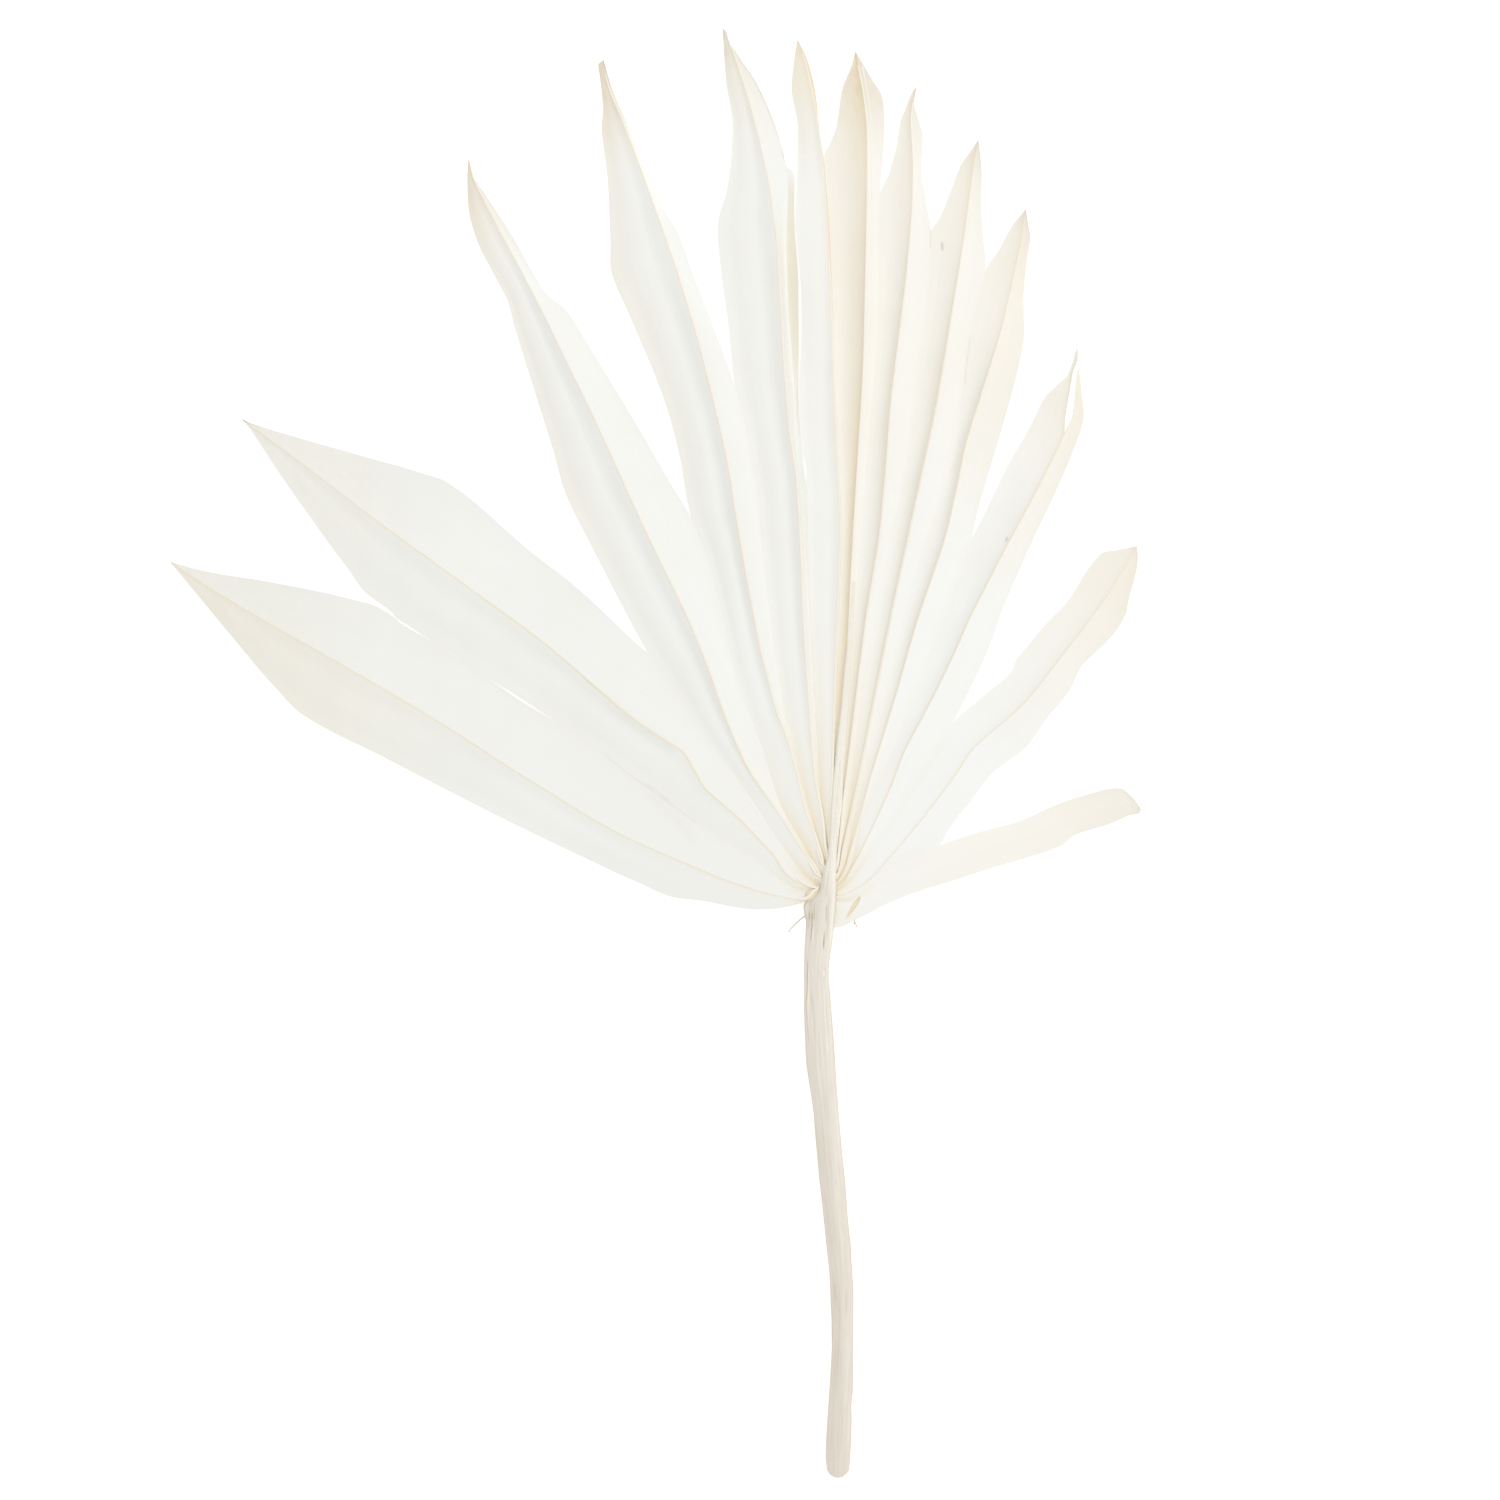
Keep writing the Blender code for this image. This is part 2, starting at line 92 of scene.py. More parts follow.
# For each leaflet: the distance from the hub at which it starts, its tip, the height of its fold, how far its
# tip curls up, how warm its ivory is, its midrib, and its free edges beyond the seams. Leaflet 5 has a strip
# torn up along a crease. The tip of leaflet 11 is split, so it has a notch and a second tip.
LEAFLETS = {
    1: dict(start=5.2, tip=(-210, 106.2), fold=4.5, lift=3, warm=0.0,
            midrib=[(-7.4, -2), (-15, -0.9), (-30, 3.5), (-45, 9.6), (-65, 18.5), (-91, 33.8),
                    (-125, 55.5), (-155, 73.2), (-184.4, 90), (-200, 99.6)],
            left=[(-7.2, -2.9), (-12.5, -4.4), (-20, -5.2), (-40, -2.5), (-48.5, -1.5), (-60, 3.2),
                  (-80, 12.4), (-110, 27), (-140, 42.5), (-168.3, 57.5), (-176, 65.2),
                  (-190, 81.6), (-200, 93.8), (-205, 100)],
            right=[(-140, 89.6), (-145, 92.3), (-150, 93.7), (-180, 100), (-200, 103.4)]),
    2: dict(start=2.4, tip=(-187.3, 152), fold=6, lift=3, warm=0.05,
            midrib=[(-2.6, 1.4), (-9.3, 3.9), (-17.5, 13.2), (-30, 25.9), (-37.4, 32.3), (-42.4, 40),
                    (-45.8, 45.3), (-50, 48), (-59.6, 54.5), (-66.5, 59.9), (-85, 75.9),
                    (-115, 98.3), (-145, 120.2), (-165.3, 135.8), (-180, 146.8)],
            left=[(-140, 90.6), (-146.5, 95.2), (-153.8, 104.6), (-165, 119.9), (-175.6, 135.2),
                  (-182, 145), (-185.4, 150)],
            right=[(-60, 79.4), (-80, 98.1), (-95, 109.9), (-121.3, 131.7), (-130, 134.8),
                   (-150, 140.5), (-180, 149.1), (-185.2, 150.9)]),
    3: dict(start=3.6, tip=(-114.2, 235.1), fold=8.5, lift=5, warm=0.1,
            midrib=[(-1.8, 5.4), (-8.5, 15.4), (-13.9, 23.8), (-22.9, 36.9), (-31.3, 54.5),
                    (-38.2, 73.6), (-44.8, 89.4), (-56.7, 114), (-75.8, 155.4), (-90, 184.6),
                    (-105, 213.2), (-112, 227)],
            left=[(-65, 91.4), (-74.5, 109.8), (-83.1, 127), (-87.6, 142.3), (-93, 159.5),
                  (-100, 182.2), (-102.7, 191.2), (-110, 204.9), (-113.6, 214.8), (-114.7, 227)],
            right=[(-50, 131.8), (-60.5, 150), (-75, 173.9), (-82.9, 186.4), (-90, 192.5),
                   (-100, 209.7), (-109.5, 224.4), (-112.9, 229.5)]),
    4: dict(start=6, tip=(-71.1, 266.4), fold=9, lift=5, warm=0.1,
            midrib=[(-0.7, 8.3), (-3.6, 18.8), (-7, 28.4), (-9, 37), (-11.8, 47.6), (-16, 59),
                    (-20, 74.4), (-23.4, 91), (-28, 116.8), (-32.5, 143), (-38.5, 167.8),
                    (-45.2, 191.2), (-54.8, 219.3), (-65, 246.8), (-69.8, 258.9)],
            left=[(-47, 140.4), (-51, 155.4), (-62.9, 184.9), (-68.4, 197.6), (-69.1, 210),
                  (-70, 229.5), (-71.8, 245.2), (-71.3, 250), (-72.4, 261.5), (-72.8, 265.1)],
            right=[(-33.4, 174.5), (-42.7, 198.8), (-47.5, 211.6), (-52.9, 220.6), (-59.4, 235.9),
                   (-64.4, 248.1), (-69, 259)]),
    5: dict(start=8.5, tip=(-33.1, 276.8), fold=9, lift=4, warm=0.15,
            midrib=[(0.6, 11.6), (-0.4, 16), (-0.9, 21.9), (-3.6, 38), (-5.5, 62), (-7, 85),
                    (-8, 108.6), (-9.2, 130.2), (-11.8, 149.3), (-13.4, 167.8), (-14.3, 185),
                    (-15.5, 205), (-17.5, 222), (-21.3, 241), (-26.1, 258.3), (-29.9, 269.5)],
            left=[(-31.3, 182), (-33.1, 195.3), (-34.7, 210), (-34.7, 214.5), (-31.8, 225),
                  (-30, 241.7), (-30, 248), (-31.9, 258.9), (-32.8, 271.1)],
            right=[(-6.9, 135), (-7.5, 141), (-8.3, 149), (-8.8, 160), (-8.7, 173), (-8.8, 190),
                   (-8.9, 197), (-10.1, 214.3), (-10.1, 230.5),
                   (-12.5, 232.8), (-15, 242.2), (-22.9, 260.2), (-26.7, 265.9), (-30.9, 272.3)],
            crease=[(0.8, 11.8), (-0.4, 20), (-2.3, 38), (-3.6, 60), (-5.1, 85), (-6.4, 105),
                    (-7.4, 120), (-8.8, 137), (-10.8, 169), (-12.1, 185), (-12.8, 207), (-12.3, 229),
                    (-13, 234.5), (-15.5, 242.2), (-23.3, 260.2), (-27.1, 265.9), (-31.2, 272.3)]),
    6: dict(start=12, tip=(-9.1, 273.2), fold=8, lift=4, warm=0.2,
            midrib=[(1.2, 12), (1.0, 20), (2, 38), (2.3, 50), (3.7, 90), (4.5, 112), (3.3, 142),
                    (2.3, 165.6), (1.5, 191), (0.5, 210.3), (-0.9, 231.6), (-2.9, 248.2),
                    (-6.4, 265.2)],
            left=[(-6.3, 135), (-7.3, 141), (-8.15, 149), (-8.6, 160), (-8.4, 168), (-7.9, 175),
                  (-7.9, 190), (-8.2, 197), (-9, 206), (-9.7, 214), (-9.4, 222.9), (-9.1, 245.9),
                  (-11, 257.4), (-10.3, 266)],
            right=[(-1.9, 244.8), (-3.3, 256.3), (-6, 267)]),
    7: dict(start=10, tip=(9.4, 269.5), fold=8, lift=3, warm=0.45,
            midrib=[(2.6, 10), (3.4, 18), (4.6, 28), (5.2, 42), (7.7, 90), (9.2, 119.7),
                    (10.6, 142.7), (11.8, 162.7), (12.7, 195), (13.2, 221.8), (13.2, 245.3),
                    (12, 256.3), (10.9, 262)],
            left=[(1.7, 241.3), (3.4, 245.9), (5.1, 256.8), (8.6, 266)],
            right=[(17.8, 230.4), (18.5, 239), (18.8, 250), (18, 255.4), (14.6, 260.9), (12.6, 264.3)]),
    8: dict(start=6, tip=(28.9, 257.9), fold=8, lift=5, warm=0.5,
            midrib=[(3.5, 9), (4.4, 15.4), (5.8, 30.3), (6.8, 38), (10, 64), (13.3, 90), (16.6, 110),
                    (18.9, 131.2), (21.2, 160), (25.2, 192.5), (27.4, 216), (27.9, 233.3),
                    (27.4, 250.5)],
            left=[(20.1, 230.4), (23, 241.3), (23.6, 245.9), (25.5, 251.1), (27.5, 256)],
            right=[(32.1, 221.8), (30.7, 231.6), (31.1, 241.9), (29.5, 248.2), (28.2, 252.8)]),
    9: dict(start=4.8, tip=(48.7, 241), fold=7.5, lift=4, warm=0.55,
            midrib=[(3.9, 6.2), (5.7, 14.9), (8.3, 26.5), (10.7, 38), (15.5, 62), (21.2, 90),
                    (29.8, 130), (33.8, 148.4), (37.8, 170.2), (41.3, 192), (44.5, 212), (47, 230.4)],
            left=[(36.4, 216.3), (39.9, 224.7), (43, 232.7), (46.8, 238.2)],
            right=[(50.4, 212), (49.9, 220.1), (50, 230)]),
    10: dict(start=3.6, tip=(63.9, 218.9), fold=6.5, lift=4, warm=0.55,
             midrib=[(3.9, 3.6), (7.9, 13.9), (9.8, 20.8), (14.5, 38), (22, 62), (30.2, 90), (37, 110),
                     (41.6, 128.3), (45.6, 146.7), (54.5, 174.8), (59.3, 193.7), (62.3, 208)],
             left=[(54.8, 205.1), (59.7, 213.7)],
             right=[(49, 123.2), (57.9, 153.6), (61.4, 166.7), (63.5, 177), (63.6, 192.5),
                    (64.6, 203.4), (65.5, 209.7), (64.6, 214.5)]),
    11: dict(start=3.3, tip=(80.4, 174.9), fold=5.5, lift=3, warm=0.55,
             midrib=[(3.9, 1.6), (8.3, 8.1), (13.7, 18.8), (21, 34.7), (26, 47.2), (32.6, 59.5),
                     (40.4, 75.3), (47, 90), (57.3, 110), (65.9, 126), (75.7, 145.7)],
             left=[(50.5, 120.9), (57.3, 135.2), (65.4, 149.5), (69.7, 158.1), (74, 162.7),
                   (77.6, 166.4), (78.8, 169.6), (79.5, 172.4)],
             right=[(43.9, 60.5), (48.4, 69.6), (53, 80.2), (56.5, 90), (65.1, 110), (78.6, 139.8),
                    (82.6, 151.3), (82.1, 159.9)],
             notch_left=[(76.5, 152.4), (78.3, 162.7), (79.4, 168.2), (80.2, 170), (80.6, 172.6)],
             notch_right=[(78.3, 150.7), (79.7, 158.1), (80.4, 166.2)],
             second_tip=(81, 168.8)),
    12: dict(start=3, tip=(99.5, 111), fold=4, lift=4, warm=0.6,
             midrib=[(4, -0.6), (9.9, 1.6), (20, 11), (28.1, 20.5), (42.1, 38.8), (47.7, 46.8),
                     (61.8, 59.1), (75.1, 75.3), (89, 93.8)],
             left=[(49.1, 62), (59.6, 71.1), (61.1, 74.9), (69.5, 85.1), (77.1, 93.1), (84.5, 104.6),
                   (87.7, 108.5), (92.8, 109.8)],
             right=[(38.9, 19.8), (44.9, 27.5), (55.4, 40), (62.5, 45.1), (70.2, 54.9), (78.6, 65.4),
                    (82.5, 73.2), (90.5, 80.9), (96, 89), (97, 94.1), (99.8, 106.6)]),
    13: dict(start=3, tip=(100.8, 26.8), fold=2.5, lift=4, warm=0.7,
             midrib=[(3.2, -3.2), (9.5, -3.6), (20, 1.5), (32, 6.5), (50, 13.5), (70, 20), (85, 26),
                     (95, 29)],
             left=[(47, 19), (61.8, 23), (75.1, 28.8), (84.2, 31.8), (91.9, 33.6), (95.1, 33.3),
                   (96.8, 31.8), (98.6, 30)],
             right=[(1, -4), (2.6, -11), (8.8, -8.9), (15, -5.8), (20, -3.3), (28, 0), (40, 3.7),
                    (55, 8.5), (65.3, 11.5), (75.1, 14.9), (80.4, 18.8), (90.5, 21.9), (97.5, 24.9),
                    (100, 25.4)]),
}

# Half the width of the slits that have torn open along a seam: (distance from the hub, half width).
SLITS = {
    (1, 2): [(101, 0), (107, 0.12), (116, 0.3), (124, 0.1), (128, 0.02), (150, 0.02), (162, 0.25)],
    (2, 3): [(26, 0), (31, 0.12), (38, 0.16), (43, 0)],
}

# The stalk's edges, seen from above, from the cut end to just past the hub.
STALK_LEFT = [(0.1, -186.3), (0.1, -185), (-0.1, -182), (0.1, -175.6), (1, -160.5), (1.9, -145),
              (1.9, -136), (1.1, -122), (0.3, -115), (-1.2, -100), (-2.1, -92), (-3.3, -78),
              (-4, -70), (-5.5, -60), (-6.2, -55), (-7.1, -37), (-7.2, -26), (-6.9, -18.6),
              (-6.2, -8.8), (-6.9, -6.8), (-7.1, -4.4), (-7.0, -2.9), (-4.6, -1.3), (-2.3, 0.4),
              (-1.7, 3.0), (-1.2, 5.6), (-0.4, 8.6), (0.6, 12), (1.2, 20)]
STALK_RIGHT = [(7.5, -186.3), (7.55, -185), (7.6, -183), (7.9, -175.6), (8.2, -168), (8.1, -164),
               (8.7, -159), (8.8, -137), (8.8, -127), (8.2, -119), (7.9, -112), (6.7, -101),
               (6.1, -92), (5.3, -85), (4.1, -70), (3.1, -56), (2, -40), (1.4, -33), (0.8, -27),
               (1, -22.6), (1.7, -17.5), (2.4, -11.4), (3, -6), (3.3, 0), (3.2, 8), (3.4, 14),
               (3.6, 20)]

# ---------------------------------------------------------------------------------------------
# The leaf's relief, in millimetres.
# ---------------------------------------------------------------------------------------------

SKIN = 0.8  # the frame's leaflets are this thick: their tops are what the sheets here follow
SHEET = 0.36  # thickness of the dry blade
RIM_SHARE = 0.1  # share of that thickness left along an edge
RIM_WIDTH = 0.6  # how far in from an edge the sheet thickens
NARROW_SHEET = 2.5  # half leaflets narrower than this are thinner too
HUB_HEIGHT = 4.0  # height of the valleys at the hub, where the stalk holds the blade up
GROUND_RADIUS = 105.0  # beyond this distance from the hub the valleys lie on the floor
FULL_FOLD_RADIUS = 130.0  # where a fold reaches its full height
FIRST_FOLD = 0.4  # share of the full height at the hub
TIP_TAPER = 0.28  # the last share of a leaflet, over which its fold runs out
CURL_START = 0.6  # no tip curls up nearer the hub than this share of its distance
CIRCLE_STEP = 1.2  # rows of points run on circles this far apart
COLUMN_WIDTH = 0.36  # widest spacing of points across a leaflet
FEWEST_COLUMNS, MOST_COLUMNS = 8, 64
TIP_ROOM = 0.4  # the last row stops this far short of the point of the tip
SEAM_OVERLAP = 0.03  # how far joined leaflets reach into each other
CREASE_SHARE = 0.6  # where the crease of leaflet 5 lies across its right half's columns
STRIP_SLOPE = 0.55  # the torn strip of leaflet 5 rises this steeply from its crease
STRIP_END = (226, 234)  # and lies down again over these distances
BUCKLE, BUCKLE_LENGTH = 0.34, 34  # how far the dry sheet buckles up and down, and over what length
DIMPLE, DIMPLE_LENGTH = 0.12, 13  # the same for its smaller dimples
VEIN_HEIGHT = 0.008
VEIN_PITCH = 1.3  # spacing of the main lengthways veins, wider than the real one so that they show
FINE_VEINS = (0.6, 0.62)  # share of the height and of the pitch
BROAD_VEINS = (0.5, 2.3)
EDGE_WAVE = 0.45  # how far a free edge waves up and down
EDGE_WAVE_LENGTH = 10.5  # distance along the edge for each radian of the wave

# How a flank falls from the midrib (share 0) to the edge (share 1). Leaflets 1 to 6 have a steep shoulder on
# the left of the midrib and then a flatter shelf; the others steepen steadily up to a sharp ridge.
STEPPED_FLANK = ([0, 0.05, 0.22, 0.30, 0.46, 0.6, 0.86, 1.0],
                 [1.0, 0.92, 0.58, 0.50, 0.44, 0.34, 0.06, 0.0])
CUSPED_FLANK = ([0, 0.1, 0.3, 0.5, 0.75, 1.0], [1.0, 0.76, 0.42, 0.20, 0.05, 0.0])
RIGHT_FLANK = ([0, 0.1, 0.35, 0.65, 0.9, 1.0], [1.0, 0.85, 0.52, 0.21, 0.03, 0.0])
FLANK_GROWS = (20, 80)  # flanks are straight nearer the hub than this, and take their shape by the second
STEPPED = (1, 2, 3, 4, 5, 6)
WIDE_HALF = 11.0  # half leaflets at least this wide fold fully; narrower ones less
NARROW_HALF = 2.0  # and at most this wide, least
NARROW_FOLD = 0.4  # share of the fold's height left where a leaflet is narrow
FOLD_SHARE = {1: 0.5, 2: 0.55, 3: 0.65, 4: 0.65, 5: 0.65}  # share of the fold's height that shows
FOLD_SHARE_REST = 0.6


def smooth(low, high, value):
    """Runs from 0 at low to 1 at high without a corner."""
    t = np.clip((np.asarray(value, float) - low) / (high - low), 0.0, 1.0)
    return t * t * (3 - 2 * t)


def curve_through(x, y):
    """A monotone cubic through (x, y), as a function."""
    x, y = np.asarray(x, float), np.asarray(y, float)
    step = np.diff(x)
    slope = np.diff(y) / step
    tangent = np.zeros(len(x))
    tangent[0], tangent[-1] = slope[0], slope[-1]
    before, after = slope[:-1], slope[1:]
    same = before * after > 0
    w1, w2 = 2 * step[1:] + step[:-1], step[1:] + 2 * step[:-1]
    inner = np.zeros(len(before))
    inner[same] = (w1 + w2)[same] / (w1[same] / before[same] + w2[same] / after[same])
    tangent[1:-1] = inner

    def value(at):
        at = np.clip(np.asarray(at, float), x[0], x[-1])
        i = np.clip(np.searchsorted(x, at) - 1, 0, len(x) - 2)
        h = step[i]
        t = (at - x[i]) / h
        return ((1 + 2 * t) * (1 - t) ** 2 * y[i] + t * (1 - t) ** 2 * h * tangent[i]
                + t * t * (3 - 2 * t) * y[i + 1] + t * t * (t - 1) * h * tangent[i + 1])

    return value


class Line:
    """A line running out from the hub, found by its distance from the hub."""

    def __init__(self, points):
        xy = np.array(points, float)
        self.r = np.hypot(xy[:, 0], xy[:, 1])
        self.angle = curve_through(self.r, np.unwrap(np.arctan2(xy[:, 1], xy[:, 0])))

    def at(self, r):
        a = self.angle(r)
        return np.stack((r * np.cos(a), r * np.sin(a)), axis=-1)


def ripple(x, y, wavelength, seed):
    """A smooth, irregular wave over the plane, between about -1 and 1, the same each time."""
    draw = np.random.default_rng(seed)
    total = 0
    for _ in range(5):
        turn, phase = draw.uniform(0, math.pi), draw.uniform(0, 2 * math.pi)
        length = wavelength * draw.uniform(0.7, 1.5)
        total = total + np.sin((x * math.cos(turn) + y * math.sin(turn)) * 2 * math.pi / length + phase)
    return total / 3


def edges_of(number):
    leaf = LEAFLETS[number]
    left = SEAMS.get((number - 1, number), []) + leaf["left"] + [leaf["tip"]]
    right = SEAMS.get((number, number + 1), []) + leaf["right"] + [leaf.get("second_tip", leaf["tip"])]
    return Line(left), Line(right)


def parting_radius(number):
    """How far from the hub a leaflet has parted from both its neighbours."""
    return max(math.hypot(*SEAMS[pair][-1]) for pair in SEAMS if number in pair)


def seam_of(number, side):
    return (number - 1, number) if side == "left" else (number, number + 1)


def joined_until(number, side, otherwise):
    """How far from the hub this edge stays joined to its neighbour."""
    pair = seam_of(number, side)
    return math.hypot(*SEAMS[pair][-1]) if pair in SEAMS else otherwise


def tip_radius_of(number):
    return math.hypot(*LEAFLETS[number]["tip"])


def node_name(number):
    return f"leaflet_{number:02d}"


def valley_height(number, r):
    """Height of the sheet's top along the leaflet's edges."""
    tip_radius = tip_radius_of(number)
    held_up = HUB_HEIGHT * (1 - smooth(0, GROUND_RADIUS, r))
    start = max(parting_radius(number), CURL_START * tip_radius)
    curled = np.clip(r - start, 0, None) / (tip_radius - start)
    return SKIN + held_up + LEAFLETS[number]["lift"] * curled**2


def fold_height(number, r):
    """How far the midrib stands above the leaflet's edges."""
    tip_radius = tip_radius_of(number)
    left, right = edges_of(number)
    half = np.hypot(*(left.at(r) - right.at(r)).T) / 2
    opened = NARROW_FOLD + (1 - NARROW_FOLD) * smooth(NARROW_HALF, WIDE_HALF, half)
    grown = FIRST_FOLD + (1 - FIRST_FOLD) * smooth(0, FULL_FOLD_RADIUS, r)
    run_out = np.clip((tip_radius - r) / (TIP_TAPER * tip_radius), 0, 1)
    full = FOLD_SHARE.get(number, FOLD_SHARE_REST) * LEAFLETS[number]["fold"]
    return full * grown * run_out * np.maximum.accumulate(opened)


def strip_rise(r):
    """How far leaflet 5's torn strip has climbed at its outer edge, and leaflet 6's edge beside it."""
    crease = Line(LEAFLETS[5]["crease"])
    edge = edges_of(5)[1]
    apart = np.hypot(*(edge.at(r) - crease.at(r)).T)
    return STRIP_SLOPE * apart * (1 - smooth(*STRIP_END, r))


def slit_width(pair, r):
    """Half the width of the slit torn open along a seam."""
    if pair not in SLITS:
        return np.zeros_like(r)
    at, half = zip(*SLITS[pair])
    return np.interp(r, at, half, left=0, right=0)


def half_sheet(number, side, circles, inner, outer, columns):
    """Points across half a leaflet, from the midrib out: arrays of rows by columns."""
    leaf = LEAFLETS[number]
    inner_xy, outer_xy = inner.at(circles), outer.at(circles)
    apart = outer_xy - inner_xy
    width = np.maximum(np.hypot(apart[:, 0], apart[:, 1]), 1e-6)
    joined = circles < joined_until(number, side, otherwise=0)
    slit = slit_width(seam_of(number, side), circles)
    reach = np.where(joined & (slit <= 0), SEAM_OVERLAP, -slit)
    outer_xy = outer_xy + apart / width[:, None] * np.minimum(reach, width * 0.5)[:, None]

    share = np.linspace(0, 1, columns + 1)
    low = valley_height(number, circles)
    high = low + fold_height(number, circles)
    left_flank = STEPPED_FLANK if number in STEPPED else CUSPED_FLANK
    at, fall = left_flank if side == "left" else RIGHT_FLANK
    folded = curve_through(at, fall)(share)
    shaped = smooth(*FLANK_GROWS, circles)[:, None]
    drop = shaped * folded + (1 - shaped) * (1 - share)
    if side == "right" and "crease" in leaf:
        crease_xy = Line(leaf["crease"]).at(circles)
        to_crease = np.clip(share / CREASE_SHARE, 0, 1)[None, :, None]
        past_crease = np.clip((share - CREASE_SHARE) / (1 - CREASE_SHARE), 0, 1)[None, :, None]
        xy = (inner_xy[:, None] + (crease_xy - inner_xy)[:, None] * to_crease
              + (outer_xy - crease_xy)[:, None] * past_crease)
        drop = shaped * curve_through(at, fall)(share / CREASE_SHARE) + (1 - shaped) * (
            1 - np.clip(share / CREASE_SHARE, 0, 1))
        z = low[:, None] + (high - low)[:, None] * drop
        z = z + strip_rise(circles)[:, None] * past_crease[:, :, 0]
    else:
        xy = inner_xy[:, None] + (outer_xy - inner_xy)[:, None] * share[None, :, None]
        foot = low + (strip_rise(circles) if (number, side) == (6, "left") else 0)
        z = foot[:, None] + (high - foot)[:, None] * drop
    widest = np.maximum.accumulate(width)
    across = share[None, :] * widest[:, None]
    return dict(xy=xy, z=z, across=across, share=np.broadcast_to(share, z.shape),
                drop=drop, width=np.broadcast_to(width[:, None], z.shape))


TORN_LEAFLET = 13
TEAR = ((10.9, -1.1), (6.2, -8.3))  # ends of the lens-shaped tear at its foot
TEAR_ROWS = (7.4, 13.0, 0.2)  # finer rows across it: from, to and how far apart
TEAR_HALF_WIDTH = 0.62
TEAR_EDGE = 0.12  # half the width over which its lip falls away
TEAR_DEPTH = 0.6


def tear_share(number, x, y):
    """1 inside the tear, 0 outside it."""
    if number != TORN_LEAFLET:
        return 0 * x
    (ax, ay), (bx, by) = TEAR
    length = math.hypot(bx - ax, by - ay)
    ux, uy = (bx - ax) / length, (by - ay) / length
    t = ((x - ax) * ux + (y - ay) * uy) / length
    off = (x - ax) * uy - (y - ay) * ux
    half = TEAR_HALF_WIDTH * np.sin(math.pi * np.clip(t, 0, 1) ** 0.75)
    return smooth(-TEAR_EDGE, TEAR_EDGE, half - np.abs(off)) * (half > 0.02)


def relief(number, side, part, circles):
    """What the dry sheet does on top of its fold: buckles, veins, a wavy free edge and the tear."""
    x, y = part["xy"][..., 0], part["xy"][..., 1]
    r = circles[:, None]
    buckle = BUCKLE * ripple(x, y, BUCKLE_LENGTH, seed=3) * smooth(40, 120, r)
    buckle = buckle + DIMPLE * ripple(x, y, DIMPLE_LENGTH, seed=5) * smooth(60, 140, r)
    c = part["across"]
    shift = 0.3 * np.sin(c * 0.9 + number) + (0 if side == "left" else 1.7)
    fine_height, fine_pitch = FINE_VEINS
    broad_height, broad_pitch = BROAD_VEINS
    veins = (np.cos(2 * math.pi * c / VEIN_PITCH + shift)
             + fine_height * np.cos(2 * math.pi * c / (VEIN_PITCH * fine_pitch) + 2 * shift)
             + broad_height * np.cos(2 * math.pi * c / (VEIN_PITCH * broad_pitch) + number))
    veins = VEIN_HEIGHT * veins * smooth(25, 70, r) * smooth(0, 0.06, part["share"])
    free_from = joined_until(number, side, otherwise=50)
    wave = EDGE_WAVE * np.sin(r / EDGE_WAVE_LENGTH + number * 1.7 + (2 if side == "left" else 0))
    wave = wave * smooth(free_from, free_from + 35, r) * part["share"] ** 3
    return buckle + veins + wave - TEAR_DEPTH * tear_share(number, x, y)


# ---------------------------------------------------------------------------------------------
# Where the blade is amber or brown, and where its colour carries painted shade. Strengths run from 0 to 1,
# distances are from the hub.
# ---------------------------------------------------------------------------------------------

FLAT_LEAFLET = 13  # its midrib does not stand up from the blade

# How far out from the hub the amber of the deep folds reaches: partly the fibre's own amber, partly painted
# shade.
FOLD_AMBER_SHADE_REACH = {1: 9, 2: 11, 3: 15, 4: 30, 5: 40, 6: 50, 7: 70, 8: 55, 9: 40, 10: 26, 11: 14, 12: 8, 13: 9}
DEEP_FOLD_AMBER_SHADE = 0.95  # at the bottom of the folds by the hub: partly the fibre's own amber, partly painted shade
TOP_AMBER = 0.12  # share of it left on top of the folds
FOOT_SHADE, FOOT_WIDTH = 0.06, 2.0  # painted shade along the feet of the flanks in the seam valleys, and how wide
RIB_SIDE_SHADE, BESIDE_WIDTH = 0.14, 1.0  # painted shade on the left of a raised midrib, the side away from the key light, and how wide
TEAR_AMBER = 0.8  # inside the tear
CROWN_AMBER_SHADE = 0.72  # on the fused feet of the leaflets at the bottom of the folds: partly their own amber, partly painted shade

# How amber the tips are and how far back from the tip that reaches, where it differs from the rest.
TIP_AMBER = {1: 0.12, 2: 0.1, 3: 0.4, 4: 0.45, 5: 0.35, 6: 0.5, 7: 0.4, 11: 0.22, 13: 0.15}
TIP_AMBER_REST = 0.2
TIP_AMBER_LENGTH = {1: 95, 2: 95}
TIP_AMBER_LENGTH_REST = 45

# How strongly the left flank is tinted beside the midrib: partly the blade's own amber, partly painted shade
# on this side away from the key light.
LEFT_FLANK_AMBER_SHADE = {5: 0.03, 6: 0.05, 7: 0.85, 8: 0.32, 9: 0.28, 10: 0.18, 11: 0.05}

# Right halves that turn amber towards the tip: how much, and the distances over which they do.
RIGHT_AMBER = {6: (0.6, 178, 212), 10: (0.15, 110, 165), 11: (0.17, 95, 145), 12: (0.08, 60, 110)}

# Half leaflets that are amber in their own way: strength, the shares across over which it comes up, and the
# distances over which it comes up and fades again.
OWN_AMBER = {
    (1, "left"): (0.16, None, (110, 170), None),
    (3, "left"): (0.16, (0.3, 1.0), (95, 150), None),
    (4, "left"): (0.16, (0.3, 1.0), (95, 150), None),
    (5, "right"): (0.42, (0.6, 0.68), (150, 180), (222, 231)),
}

